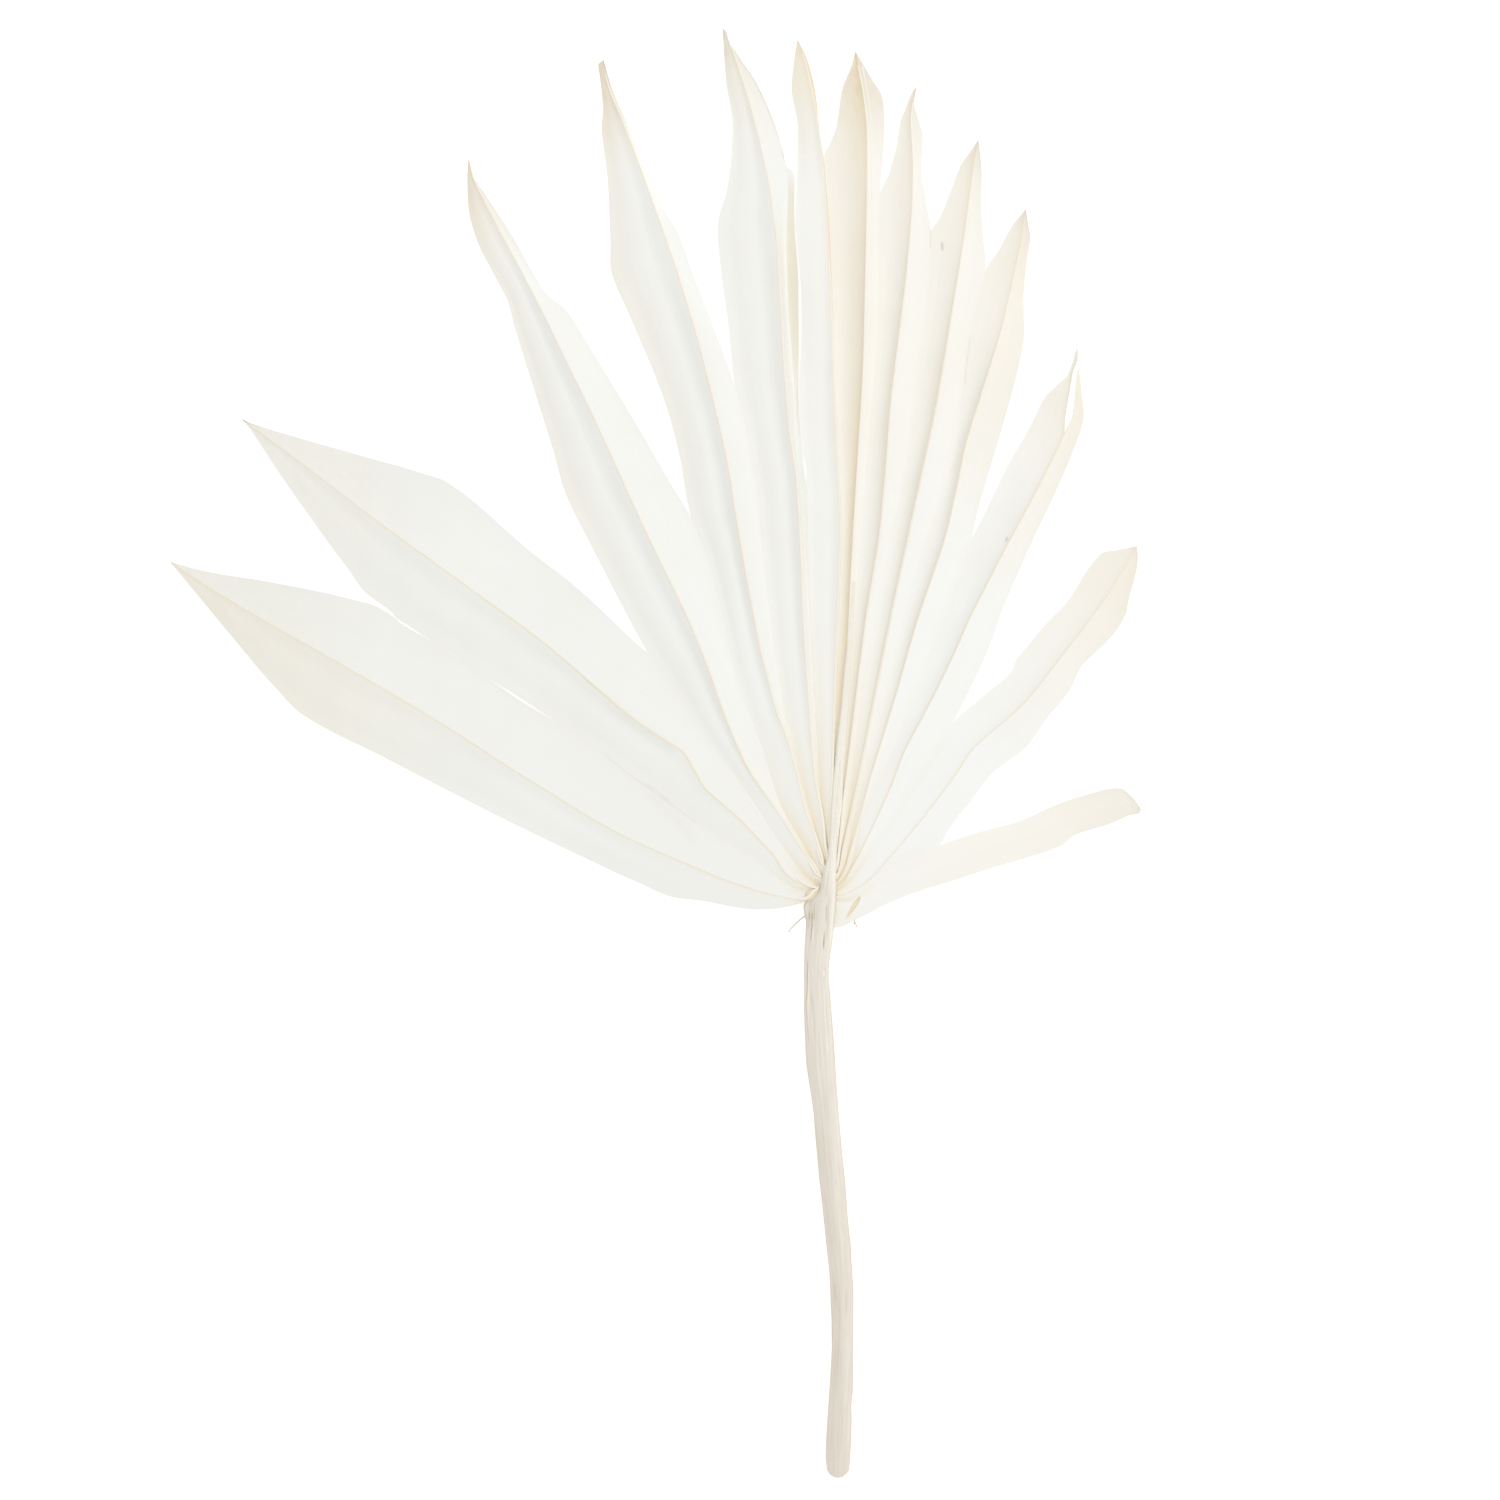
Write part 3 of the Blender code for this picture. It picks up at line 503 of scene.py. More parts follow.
# Brown, dried-out tips: length and strength.
TIP_BROWN = {1: (95, 0.045), 2: (90, 0.06), 3: (24, 0.16), 4: (34, 0.2), 5: (20, 0.16), 7: (34, 0.16),
             8: (16, 0.14), 9: (14, 0.14), 12: (4, 0.1), 13: (4, 0.1)}
TIP_BROWN_REST = (8, 0.12)

LEFT_LEAFLET_SHADE = {1: 0.85, 2: 0.75, 3: 0.45, 4: 0.35, 5: 0.3, 6: 0.1}  # painted shade: the left leaflets, on the side away from the key light, are a greyer ivory

# Distances over which the ivory warms.
WARM_REACH = {1: (150, 235), 2: (150, 240), 12: (60, 130), 13: (-5, 60)}
WARM_REACH_REST = (90, 190)


def flank_amber_and_shade(number, side, share, r):
    """How strongly half a leaflet is tinted away from the hub and the tip: with its own colour, and partly
    with painted shade on the left flank beside the midrib.
    """
    if (number, side) in OWN_AMBER:
        strength, across, grows, fades = OWN_AMBER[number, side]
        if across:
            strength = strength * smooth(*across, share)
        strength = strength * smooth(*grows, r)
        return strength * (1 - smooth(*fades, r)) if fades else strength
    if side == "right":
        strength, low, high = RIGHT_AMBER.get(number, (0, 0, 1))
        return strength * smooth(low, high, r)
    # Partly painted shade: the left flank darkens towards the midrib, away from the key light.
    return LEFT_FLANK_AMBER_SHADE.get(number, 0) * (1 - share) ** 1.1 * (1 - 0.35 * smooth(120, 200, r))


def amber_and_shade_of(number, side, part, circles):
    """How strongly the sheet is tinted: deep in the folds near the hub, partly as painted shade; at the feet
    of the flanks and on the left of the midribs, as painted shade; along the flanks, with its own colour and
    on the left partly as painted shade; at the tips and in the tear, with its own colour.
    """
    r = circles[:, None]
    tip_radius = tip_radius_of(number)
    # Partly painted shade: the tint grows with depth in the folds near the hub.
    deep = (1 - part["drop"]) ** 1.5
    near_hub = np.exp(-((r / FOLD_AMBER_SHADE_REACH[number]) ** 2))
    inside = DEEP_FOLD_AMBER_SHADE * near_hub * (TOP_AMBER + (1 - TOP_AMBER) * deep)
    free_from = joined_until(number, side, otherwise=0)
    # Painted shade in the seam valleys, where joined flanks meet.
    from_edge = (1 - part["share"]) * part["width"]
    foot = FOOT_SHADE * np.exp(-((from_edge / FOOT_WIDTH) ** 2)) * (1 - smooth(free_from - 10, free_from, r))
    # Painted shade on the left of the midrib, the side away from the key light.
    from_rib = part["share"] * part["width"]
    beside = RIB_SIDE_SHADE if side == "left" and number != FLAT_LEAFLET else 0.0
    beside = beside * np.exp(-((from_rib / BESIDE_WIDTH) ** 2))
    tip_from = tip_radius - TIP_AMBER_LENGTH.get(number, TIP_AMBER_LENGTH_REST)
    tip = TIP_AMBER.get(number, TIP_AMBER_REST) * smooth(tip_from, tip_radius, r)
    tip = tip + flank_amber_and_shade(number, side, part["share"], r)
    tear = tear_share(number, part["xy"][..., 0], part["xy"][..., 1])
    return np.clip(inside + foot + beside + tip + TEAR_AMBER * tear, 0, 1)


# Brown marks on the blade: the leaflets they lie on, path of (x, y), half width and strength.
SCARS = [
    ((1, 2), [(-71, 44.3), (-60, 35.8), (-52, 30.2), (-42, 22.8)], 0.35, 0.1),
    ((1, 2), [(-57.7, 34.6), (-54.5, 32.6), (-51, 29.6)], 0.8, 0.13),
    ((1,), [(-56, 31), (-50, 26), (-43, 18)], 1.6, 0.05),
    ((2,), [(-77, 68.6), (-72.5, 64.8), (-69, 62)], 0.4, 0.25),
    ((2,), [(-69, 60.6), (-60, 53.6), (-49, 46.4)], 1.6, 0.08),
    ((8, 9), [(33.6, 214), (33.5, 207)], 0.3, 0.18),
    ((9,), [(37.3, 206.4), (37.3, 207.8)], 0.4, 0.5),
    ((9, 10), [(46.2, 178), (45.2, 170), (44.5, 163)], 0.25, 0.16),
    ((11,), [(57.9, 113.3), (57.9, 113.7)], 0.35, 0.5),
]


def scar_of(number, xy):
    """How strongly each point is scarred, by its distance from the scar's path."""
    found = np.zeros(len(xy))
    for leaflets, path, half_width, strength in SCARS:
        if number not in leaflets:
            continue
        for a, b in zip(path[:-1], path[1:]):
            a, way = np.array(a), np.subtract(b, a)
            t = np.clip((xy - a) @ way / (way @ way), 0, 1)
            off = np.linalg.norm(xy - a - t[:, None] * way, axis=1)
            found = np.maximum(found, strength * np.exp(-((off / half_width) ** 2)))
    length, strength = TIP_BROWN.get(number, TIP_BROWN_REST)
    tip_radius = tip_radius_of(number)
    dried = strength * smooth(tip_radius - length, tip_radius, np.hypot(xy[:, 0], xy[:, 1]))
    return np.maximum(found, dried) * (0.75 + 0.25 * ripple(xy[:, 0], xy[:, 1], 4, seed=51))


# ---------------------------------------------------------------------------------------------
# Meshes
# ---------------------------------------------------------------------------------------------

# The frame's box ends at the tip of leaflet 1 on the left and at the tip of leaflet 5 at the far end.
hub_x = cad_box[0][0] / MM - LEAFLETS[1]["tip"][0]
hub_y = cad_box[1][1] / MM - LEAFLETS[5]["tip"][1]
HUB = np.array((hub_x, hub_y, 0.0))

SHARP_ANGLE = 55  # edges that turn more than this stay sharp


def vertex_normals(points, faces):
    """The mean direction of the faces round each point."""
    a, b, c = points[faces[:, 0]], points[faces[:, 1]], points[faces[:, 2]]
    d = points[faces[:, 3]]
    face = np.cross(c - a, d - b)
    normals = np.zeros_like(points)
    for k in range(4):
        np.add.at(normals, faces[:, k], face)
    return normals / np.maximum(np.linalg.norm(normals, axis=1), 1e-12)[:, None]


def make_mesh(name, points, faces, attributes, material):
    """A mesh in the frame from points in millimetres. A face whose last two corners agree is a triangle."""
    mesh = bpy.data.meshes.new(name)
    sides = np.where(faces[:, 2] == faces[:, 3], 3, 4)
    loops = np.concatenate([face[:n] for face, n in zip(faces, sides)]).astype(np.int32)
    starts = np.concatenate(([0], np.cumsum(sides)[:-1])).astype(np.int32)
    mesh.vertices.add(len(points))
    mesh.vertices.foreach_set("co", ((points + HUB) * MM).astype(np.float32).ravel())
    mesh.loops.add(len(loops))
    mesh.loops.foreach_set("vertex_index", loops)
    mesh.polygons.add(len(faces))
    mesh.polygons.foreach_set("loop_start", starts)
    mesh.update(calc_edges=True)
    for title, values in attributes.items():
        if title == "grain":
            layer = mesh.uv_layers.new(name=title)
            layer.data.foreach_set("uv", values[loops].astype(np.float32).ravel())
        else:
            layer = mesh.attributes.new(title, "FLOAT", "POINT")
            layer.data.foreach_set("value", values.astype(np.float32))
    mesh.materials.append(material)
    mesh.shade_smooth()
    mesh.set_sharp_from_angle(angle=math.radians(SHARP_ANGLE))
    obj = bpy.data.objects.new(name, mesh)
    bpy.context.scene.collection.objects.link(obj)
    return obj


def add_piece(obj, node):
    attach(obj, ROOT)
    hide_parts(node)


def thicken(points, faces, thickness, lowest=0.03):
    """Closes a sheet: the underside follows its normals, and a wall runs round every edge."""
    count = len(points)
    normals = vertex_normals(points, faces)
    under = points - normals * thickness[:, None]
    under[:, 2] = np.maximum(under[:, 2], lowest)
    ends = np.concatenate([faces[:, [k, (k + 1) % 4]] for k in range(4)])
    ends = ends[ends[:, 0] != ends[:, 1]]
    key = ends[:, 0].astype(np.int64) * count + ends[:, 1]
    back = ends[:, 1].astype(np.int64) * count + ends[:, 0]
    rim = ends[~np.isin(key, back)]
    walls = np.stack((rim[:, 1], rim[:, 0], rim[:, 0] + count, rim[:, 1] + count), axis=1)
    triangle = faces[:, 2] == faces[:, 3]
    turned = np.where(triangle[:, None], faces[:, [0, 2, 1, 1]], faces[:, [0, 3, 2, 1]]) + count
    return np.concatenate([points, under]), np.concatenate([faces, turned, walls])


def leaf_sheet(number):
    """Points, faces and attributes of one leaflet's top, and its two halves as grids."""
    leaf = LEAFLETS[number]
    outer = dict(zip(("left", "right"), edges_of(number)))
    tips = dict(left=leaf["tip"], right=leaf.get("second_tip", leaf["tip"]))
    forked = "notch_left" in leaf
    fork = math.hypot(*leaf["midrib"][-1]) if forked else math.inf
    points, grain, amber_and_shade, room, faces = [], [], [], [], []
    count = 0
    halves = {}
    for side, turn in (("left", 1), ("right", -1)):
        inner = Line(leaf["midrib"] + leaf.get("notch_" + side, []) + [tips[side]])
        tip_radius = math.hypot(*tips[side])
        steps = np.arange(math.ceil(leaf["start"] / CIRCLE_STEP), int(tip_radius / CIRCLE_STEP) + 1)
        circles = steps * CIRCLE_STEP
        circles = circles[circles < tip_radius - TIP_ROOM]
        if number == TORN_LEAFLET:
            circles = np.union1d(circles, np.arange(*TEAR_ROWS).round(3))
        span = outer[side].at(circles) - inner.at(circles)
        widest = np.hypot(span[:, 0], span[:, 1]).max()
        columns = int(np.clip(widest / COLUMN_WIDTH, FEWEST_COLUMNS, MOST_COLUMNS))
        part = half_sheet(number, side, circles, inner, outer[side], columns)
        z = part["z"] + relief(number, side, part, circles)
        own = count + np.arange(z.size).reshape(z.shape)
        halves[side] = dict(part, z=z)
        if side == "left":
            middle = own[:, 0]
        else:
            both = min(len(middle), len(own))
            joined = circles[:both] <= fork
            own[:both, 0] = np.where(joined, middle[:both], own[:both, 0])
        tip = np.array([*tips[side], valley_height(number, tip_radius) + 0.05])
        points += [np.column_stack((part["xy"].reshape(-1, 2), z.ravel())), tip[None]]
        across = turn * part["across"]
        along = np.broadcast_to(circles[:, None], z.shape)
        grain += [np.column_stack((across.ravel(), along.ravel())), [[0.0, tip_radius]]]
        # Tint that is partly painted shade: in the folds, the seam valleys and beside the midrib.
        amber_and_shade += [amber_and_shade_of(number, side, part, circles).ravel(), [0.4]]
        from_edge = (1 - part["share"]) * part["width"]
        thin = np.minimum(part["width"] / NARROW_SHEET, RIM_SHARE + from_edge / RIM_WIDTH)
        room += [np.clip(thin, RIM_SHARE, 1).ravel(), [RIM_SHARE]]
        last = own[-1]
        tip_index = count + z.size
        if side == "right" and not forked:
            tip_index = first_tip
        first_tip = tip_index
        count += z.size + 1
        a, b, c, d = own[:-1, :-1], own[1:, :-1], own[1:, 1:], own[:-1, 1:]
        ends = np.full(len(last) - 1, tip_index)
        if side == "left":
            faces.append(np.stack((a, b, c, d), axis=-1).reshape(-1, 4))
            faces.append(np.column_stack((last[:-1], ends, last[1:], last[1:])))
        else:
            faces.append(np.stack((a, d, c, b), axis=-1).reshape(-1, 4))
            faces.append(np.column_stack((last[:-1], last[1:], ends, ends)))
    faces = np.concatenate(faces)
    used, faces = np.unique(faces, return_inverse=True)
    faces = faces.reshape(-1, 4)
    return (np.concatenate(points)[used], faces, np.concatenate(grain)[used],
            np.concatenate(amber_and_shade)[used], np.concatenate(room)[used], halves)


def make_leaflet(number, material):
    """One leaflet's blade as a closed sheet. Gives back its two halves as grids, for the midrib to follow."""
    points, faces, grain, amber_and_shade, room, halves = leaf_sheet(number)
    points, faces = thicken(points, faces, SHEET * room)
    warm_reach = WARM_REACH.get(number, WARM_REACH_REST)
    warm = LEAFLETS[number]["warm"] * smooth(*warm_reach, grain[:, 1])
    warm = np.concatenate([warm, warm])
    # Painted shade: the left leaflets, away from the key light, are greyer.
    left_side_shade = np.full(len(warm), LEFT_LEAFLET_SHADE.get(number, 0.0))
    attributes = dict(grain=np.concatenate([grain, grain]), warm=warm, left_side_shade=left_side_shade,
                      amber_and_shade=np.concatenate([amber_and_shade, amber_and_shade]), scar=scar_of(number, points[:, :2]))
    obj = make_mesh(node_name(number) + "_blade", points, faces, attributes, material)
    add_piece(obj, node_name(number))
    return halves


def along_half(half, distance):
    """The line on half a leaflet that keeps this distance from the midrib."""
    rows = np.arange(len(half["z"]))
    column = np.clip(distance / half["width"][:, 0], 0, 1) * (half["z"].shape[1] - 1)
    low = np.minimum(column.astype(int), half["z"].shape[1] - 2)
    share = column - low
    xy = half["xy"][rows, low] * (1 - share)[:, None] + half["xy"][rows, low + 1] * share[:, None]
    z = half["z"][rows, low] * (1 - share) + half["z"][rows, low + 1] * share
    return np.column_stack((xy, z))


# ---------------------------------------------------------------------------------------------
# Strands: midribs, lips and loose fibres, swept along their paths by one node tree.
# ---------------------------------------------------------------------------------------------


def add_node(tree, kind, inputs=(), **settings):
    """A node with its settings, and its inputs as (socket, value or the output it is linked to)."""
    made = tree.nodes.new(kind)
    for key, value in settings.items():
        setattr(made, key, value)
    for socket, source in inputs:
        if isinstance(source, bpy.types.NodeSocket):
            tree.links.new(source, made.inputs[socket])
        else:
            made.inputs[socket].default_value = source
    return made


def strand_tree():
    """Sweeps a round profile along the object's edges. The point attribute "thick" is the radius."""
    tree = bpy.data.node_groups.new("strand", "GeometryNodeTree")
    face = tree.interface
    face.new_socket("Path", in_out="INPUT", socket_type="NodeSocketGeometry")
    sides = face.new_socket("Sides", in_out="INPUT", socket_type="NodeSocketInt")
    look = face.new_socket("Material", in_out="INPUT", socket_type="NodeSocketMaterial")
    face.new_socket("Strand", in_out="OUTPUT", socket_type="NodeSocketGeometry")

    given = add_node(tree, "NodeGroupInput").outputs
    thick = add_node(tree, "GeometryNodeInputNamedAttribute", [("Name", "thick")], data_type="FLOAT")
    curve = add_node(tree, "GeometryNodeMeshToCurve", [("Mesh", given["Path"])])
    sized = add_node(tree, "GeometryNodeSetCurveRadius",
                     [("Curve", curve.outputs["Curve"]), ("Radius", thick.outputs["Attribute"])])
    ring = add_node(tree, "GeometryNodeCurvePrimitiveCircle",
                    [("Resolution", given["Sides"]), ("Radius", 1.0)], mode="RADIUS")
    swept = add_node(tree, "GeometryNodeCurveToMesh",
                     [("Curve", sized.outputs["Curve"]), ("Profile Curve", ring.outputs["Curve"]),
                      ("Scale", thick.outputs["Attribute"]), ("Fill Caps", True)])
    real = add_node(tree, "GeometryNodeRealizeInstances", [("Geometry", swept.outputs["Mesh"])])
    smooth_faces = add_node(tree, "GeometryNodeSetShadeSmooth", [("Geometry", real.outputs["Geometry"])])
    painted = add_node(tree, "GeometryNodeSetMaterial",
                       [("Geometry", smooth_faces.outputs["Geometry"]), ("Material", given["Material"])])
    add_node(tree, "NodeGroupOutput", [("Strand", painted.outputs["Geometry"])])
    return tree, sides.identifier, look.identifier


def make_strands(name, paths, tree, material, node, tone, sides=10):
    """One mesh of strands. Each path is (points, radii) in millimetres from the hub.

    The tone is what the material makes of it: pale to olive on a midrib, dark to pale on the stalk.
    """
    points = np.concatenate([np.asarray(path) for path, _ in paths])
    thick = np.concatenate([np.broadcast_to(radii, len(path)) for path, radii in paths])
    starts = np.cumsum([0] + [len(path) for path, _ in paths])
    edges = [(i, i + 1) for a, b in zip(starts[:-1], starts[1:]) for i in range(a, b - 1)]
    mesh = bpy.data.meshes.new(name + "_path")
    mesh.from_pydata([tuple(p) for p in (points + HUB) * MM], edges, [])
    layer = mesh.attributes.new("thick", "FLOAT", "POINT")
    layer.data.foreach_set("value", (thick * MM).astype(np.float32))
    layer = mesh.attributes.new("tone", "FLOAT", "POINT")
    layer.data.foreach_set("value", np.full(len(points), tone, np.float32))
    group, sides_id, look_id = tree
    obj = bpy.data.objects.new(name, mesh)
    bpy.context.scene.collection.objects.link(obj)
    modifier = obj.modifiers.new("strand", "NODES")
    modifier.node_group = group
    modifier[sides_id] = sides
    modifier[look_id] = material
    graph = bpy.context.evaluated_depsgraph_get()
    made = bpy.data.meshes.new_from_object(obj.evaluated_get(graph))
    obj.modifiers.remove(modifier)
    obj.data = made
    made.name = name
    bpy.data.meshes.remove(mesh)
    add_piece(obj, node)


# ---------------------------------------------------------------------------------------------
# Materials. The coordinate "grain" is in millimetres, across and along the fibres.
# ---------------------------------------------------------------------------------------------

BLADE_COOL = "#f8f9f6"
# Painted shade: the greyer ivory of the left leaflets, away from the key light.
BLADE_SHADED_IVORY = "#f3f4ef"
BLADE_WARM = "#fbf6eb"
BLADE_STREAK = "#f3f0e8"
BLADE_PATCH = "#f5f1e7"
# Amber, also painted as shade in the deep folds, the seam valleys and beside the midribs.
BLADE_AMBER_AND_SHADE = "#eedebd"
BLADE_SCAR = "#a98558"
RIB_PALE = "#fefbf2"
RIB_DARK = "#f8f1e2"
RIB_OLIVE = "#e9dfc4"
STALK_PALE = "#ebe5da"
STALK_STREAK = "#e2d9ca"
STALK_DARK = "#bfa88c"
STALK_LIGHT = "#faf5ea"
PAPER_WHITE = "#fbfbfb"

BLADE_BANDS_PER_MM = 0.42  # bands of tone about 2.4 mm wide
BLADE_FIBRES_PER_MM = 4.5  # fibres about 0.2 mm apart, coarser than real ones so that they show
BLADE_PATCHES_PER_M = 45.0  # patches of tone about 22 mm wide
BLADE_STRETCH = (1.0, 0.02, 1.0)  # bands and fibres are 50 times as long as wide
BLADE_RELIEF = 0.00006  # height of the fibres, in metres
RIB_PATCHES_PER_M = 160.0  # patches of tone about 6 mm long
STALK_STREAKS_PER_MM = 1.4  # streaks about 0.7 mm wide
STALK_FIBRES_PER_MM = 6.0  # fibres about 0.17 mm apart
STALK_STRETCH = (1.0, 0.04, 1.0)  # both are 25 times as long as wide
STALK_RELIEF = 0.0001


def colour(text):
    """An sRGB hex colour as linear RGBA."""
    parts = [int(text[i:i + 2], 16) / 255 for i in (1, 3, 5)]
    return (*[p / 12.92 if p <= 0.04045 else ((p + 0.055) / 1.055) ** 2.4 for p in parts], 1.0)


def new_material(name):
    material = bpy.data.materials.new(name)
    material.use_nodes = True
    tree = material.node_tree
    tree.nodes.clear()
    shader = add_node(tree, "ShaderNodeBsdfPrincipled")
    add_node(tree, "ShaderNodeOutputMaterial", [("Surface", shader.outputs["BSDF"])])
    return material, tree, shader


def mix(tree, share, first, second):
    """Colour mix: sockets 0, 6 and 7 are the colour version's factor and its two colours."""
    return add_node(tree, "ShaderNodeMix", [(0, share), (6, first), (7, second)],
                    data_type="RGBA", blend_type="MIX").outputs[2]


def blade_material():
    """Dry, bleached palm blade: thin matt fibre sheet.

    The eye reads it as paper with a fine lengthways grain, brown at the scars. Its tint in the folds, in the
    seam valleys and beside the midribs, and the greyer ivory of the left leaflets, are painted shade, deep in
    the folds partly its own colour.
    """
    material, tree, shader = new_material("bleached palm blade")
    grain = add_node(tree, "ShaderNodeAttribute", attribute_name="grain", attribute_type="GEOMETRY")
    amber_and_shade = add_node(tree, "ShaderNodeAttribute", attribute_name="amber_and_shade", attribute_type="GEOMETRY")
    warm = add_node(tree, "ShaderNodeAttribute", attribute_name="warm", attribute_type="GEOMETRY")
    left_side_shade = add_node(tree, "ShaderNodeAttribute", attribute_name="left_side_shade", attribute_type="GEOMETRY")
    scar = add_node(tree, "ShaderNodeAttribute", attribute_name="scar", attribute_type="GEOMETRY")
    place = add_node(tree, "ShaderNodeTexCoord").outputs["Object"]
    stretch = add_node(tree, "ShaderNodeVectorMath",
                       [(0, grain.outputs["Vector"]), (1, BLADE_STRETCH)], operation="MULTIPLY")
    bands = add_node(tree, "ShaderNodeTexNoise",
                     [("Vector", stretch.outputs[0]), ("Scale", BLADE_BANDS_PER_MM), ("Detail", 4.0)])
    fibres = add_node(tree, "ShaderNodeTexNoise",
                      [("Vector", stretch.outputs[0]), ("Scale", BLADE_FIBRES_PER_MM), ("Detail", 2.0)])
    patches = add_node(tree, "ShaderNodeTexNoise",
                       [("Vector", place), ("Scale", BLADE_PATCHES_PER_M), ("Detail", 4.0)])
    band_tone = add_node(tree, "ShaderNodeMapRange",
                         [("Value", bands.outputs["Fac"]), ("From Min", 0.3), ("From Max", 0.7),
                          ("To Min", 0.0), ("To Max", 0.2)])
    patch_tone = add_node(tree, "ShaderNodeMapRange",
                          [("Value", patches.outputs["Fac"]), ("From Min", 0.45), ("From Max", 0.75),
                           ("To Min", 0.0), ("To Max", 0.3)])
    # Painted shade: the left leaflets mix towards a greyer ivory.
    base = mix(tree, left_side_shade.outputs["Fac"], colour(BLADE_COOL), colour(BLADE_SHADED_IVORY))
    base = mix(tree, warm.outputs["Fac"], base, colour(BLADE_WARM))
    base = mix(tree, band_tone.outputs[0], base, colour(BLADE_STREAK))
    base = mix(tree, patch_tone.outputs[0], base, colour(BLADE_PATCH))
    # Amber and painted shade: the deep folds, the seam valleys and the left of the midribs.
    base = mix(tree, amber_and_shade.outputs["Fac"], base, colour(BLADE_AMBER_AND_SHADE))
    base = mix(tree, scar.outputs["Fac"], base, colour(BLADE_SCAR))
    tree.links.new(base, shader.inputs["Base Color"])
    shader.inputs["Roughness"].default_value = 0.62
    shader.inputs["Specular IOR Level"].default_value = 0.3
    bump = add_node(tree, "ShaderNodeBump",
                    [("Height", fibres.outputs["Fac"]), ("Strength", 0.5), ("Distance", BLADE_RELIEF)])
    tree.links.new(bump.outputs["Normal"], shader.inputs["Normal"])
    return material


def rib_material():
    """Straw-coloured midrib: denser, smoother fibre than the blade, so a little glossier and warmer."""
    material, tree, shader = new_material("straw midrib")
    tone = add_node(tree, "ShaderNodeAttribute", attribute_name="tone", attribute_type="GEOMETRY")
    place = add_node(tree, "ShaderNodeTexCoord").outputs["Object"]
    patches = add_node(tree, "ShaderNodeTexNoise",
                       [("Vector", place), ("Scale", RIB_PATCHES_PER_M), ("Detail", 3.0)])
    base = mix(tree, patches.outputs["Fac"], colour(RIB_PALE), colour(RIB_DARK))
    base = mix(tree, tone.outputs["Fac"], base, colour(RIB_OLIVE))
    tree.links.new(base, shader.inputs["Base Color"])
    shader.inputs["Roughness"].default_value = 0.5
    shader.inputs["Specular IOR Level"].default_value = 0.35
    return material


def stalk_material():
    """Bleached palm stalk: hard weathered fibre with fine lengthways streaks, satin rather than glossy."""
    material, tree, shader = new_material("bleached palm stalk")
    grain = add_node(tree, "ShaderNodeAttribute", attribute_name="grain", attribute_type="GEOMETRY")
    tone = add_node(tree, "ShaderNodeAttribute", attribute_name="tone", attribute_type="GEOMETRY")
    stretch = add_node(tree, "ShaderNodeVectorMath",
                       [(0, grain.outputs["Vector"]), (1, STALK_STRETCH)], operation="MULTIPLY")
    streaks = add_node(tree, "ShaderNodeTexNoise",
                       [("Vector", stretch.outputs[0]), ("Scale", STALK_STREAKS_PER_MM), ("Detail", 4.0)])
    fibres = add_node(tree, "ShaderNodeTexNoise",
                      [("Vector", stretch.outputs[0]), ("Scale", STALK_FIBRES_PER_MM), ("Detail", 2.0)])
    streak_tone = add_node(tree, "ShaderNodeMapRange",
                           [("Value", streaks.outputs["Fac"]), ("From Min", 0.35), ("From Max", 0.7)])
    dark = add_node(tree, "ShaderNodeMapRange",
                    [("Value", tone.outputs["Fac"]), ("From Min", 0.0), ("From Max", -1.0),
                     ("To Min", 0.0), ("To Max", 0.85)])
    light = add_node(tree, "ShaderNodeMapRange",
                     [("Value", tone.outputs["Fac"]), ("From Min", 0.0), ("From Max", 1.0),
                      ("To Min", 0.0), ("To Max", 0.9)])
    base = mix(tree, streak_tone.outputs[0], colour(STALK_PALE), colour(STALK_STREAK))
    base = mix(tree, dark.outputs[0], base, colour(STALK_DARK))
    base = mix(tree, light.outputs[0], base, colour(STALK_LIGHT))
    tree.links.new(base, shader.inputs["Base Color"])
    shader.inputs["Roughness"].default_value = 0.55
    shader.inputs["Specular IOR Level"].default_value = 0.35
    bump = add_node(tree, "ShaderNodeBump",
                    [("Height", fibres.outputs["Fac"]), ("Strength", 0.6), ("Distance", STALK_RELIEF)])
    tree.links.new(bump.outputs["Normal"], shader.inputs["Normal"])
    return material


# ---------------------------------------------------------------------------------------------
# The leaf
# ---------------------------------------------------------------------------------------------

blade = blade_material()
rib = rib_material()
wood = stalk_material()
strand = strand_tree()

RIB_RADII = {1: (0.42, 0.3), 10: (0.36, 0.2), 11: (0.36, 0.2), 12: (0.36, 0.2)}  # at the hub and at the tip
RIB_RADII_REST = (0.55, 0.27)
RIB_SUNK = 0.78  # share of a midrib's radius by which its centre lies below the ridge
RIB_LENGTH = 0.99  # share of the ridge that it runs along
DOUBLE_RIB, DOUBLE_RIB_GAP = 7, 1.3  # the leaflet with a second strand on the right, and how far off it is
RIB_TONE = {1: 0.45, 2: 0.4, 3: 0.2, 4: 0.15, 5: 0.1, 6: 0.15, 7: 0.0, 8: 0.1, 9: 0.3, 10: 0.4, 11: 0.5,
            12: 0.4}

for number in LEAFLETS:
    halves = make_leaflet(number, blade)
    if number == FLAT_LEAFLET:
        continue
    first, last = RIB_RADII.get(number, RIB_RADII_REST)
    lines = [along_half(halves["left"], 0.0)]
    if number == DOUBLE_RIB:
        lines.append(along_half(halves["right"], DOUBLE_RIB_GAP))
    paths = []
    for line in lines:
        run = np.linspace(0, 1, len(line))
        radii = first + (last - first) * run**0.8
        path = line - np.column_stack((0 * run, 0 * run, RIB_SUNK * radii))
        kept = int(len(path) * RIB_LENGTH)
        paths.append((path[:kept], radii[:kept]))
    make_strands(node_name(number) + "_midrib", paths, strand, rib, node_name(number),
                 RIB_TONE[number])

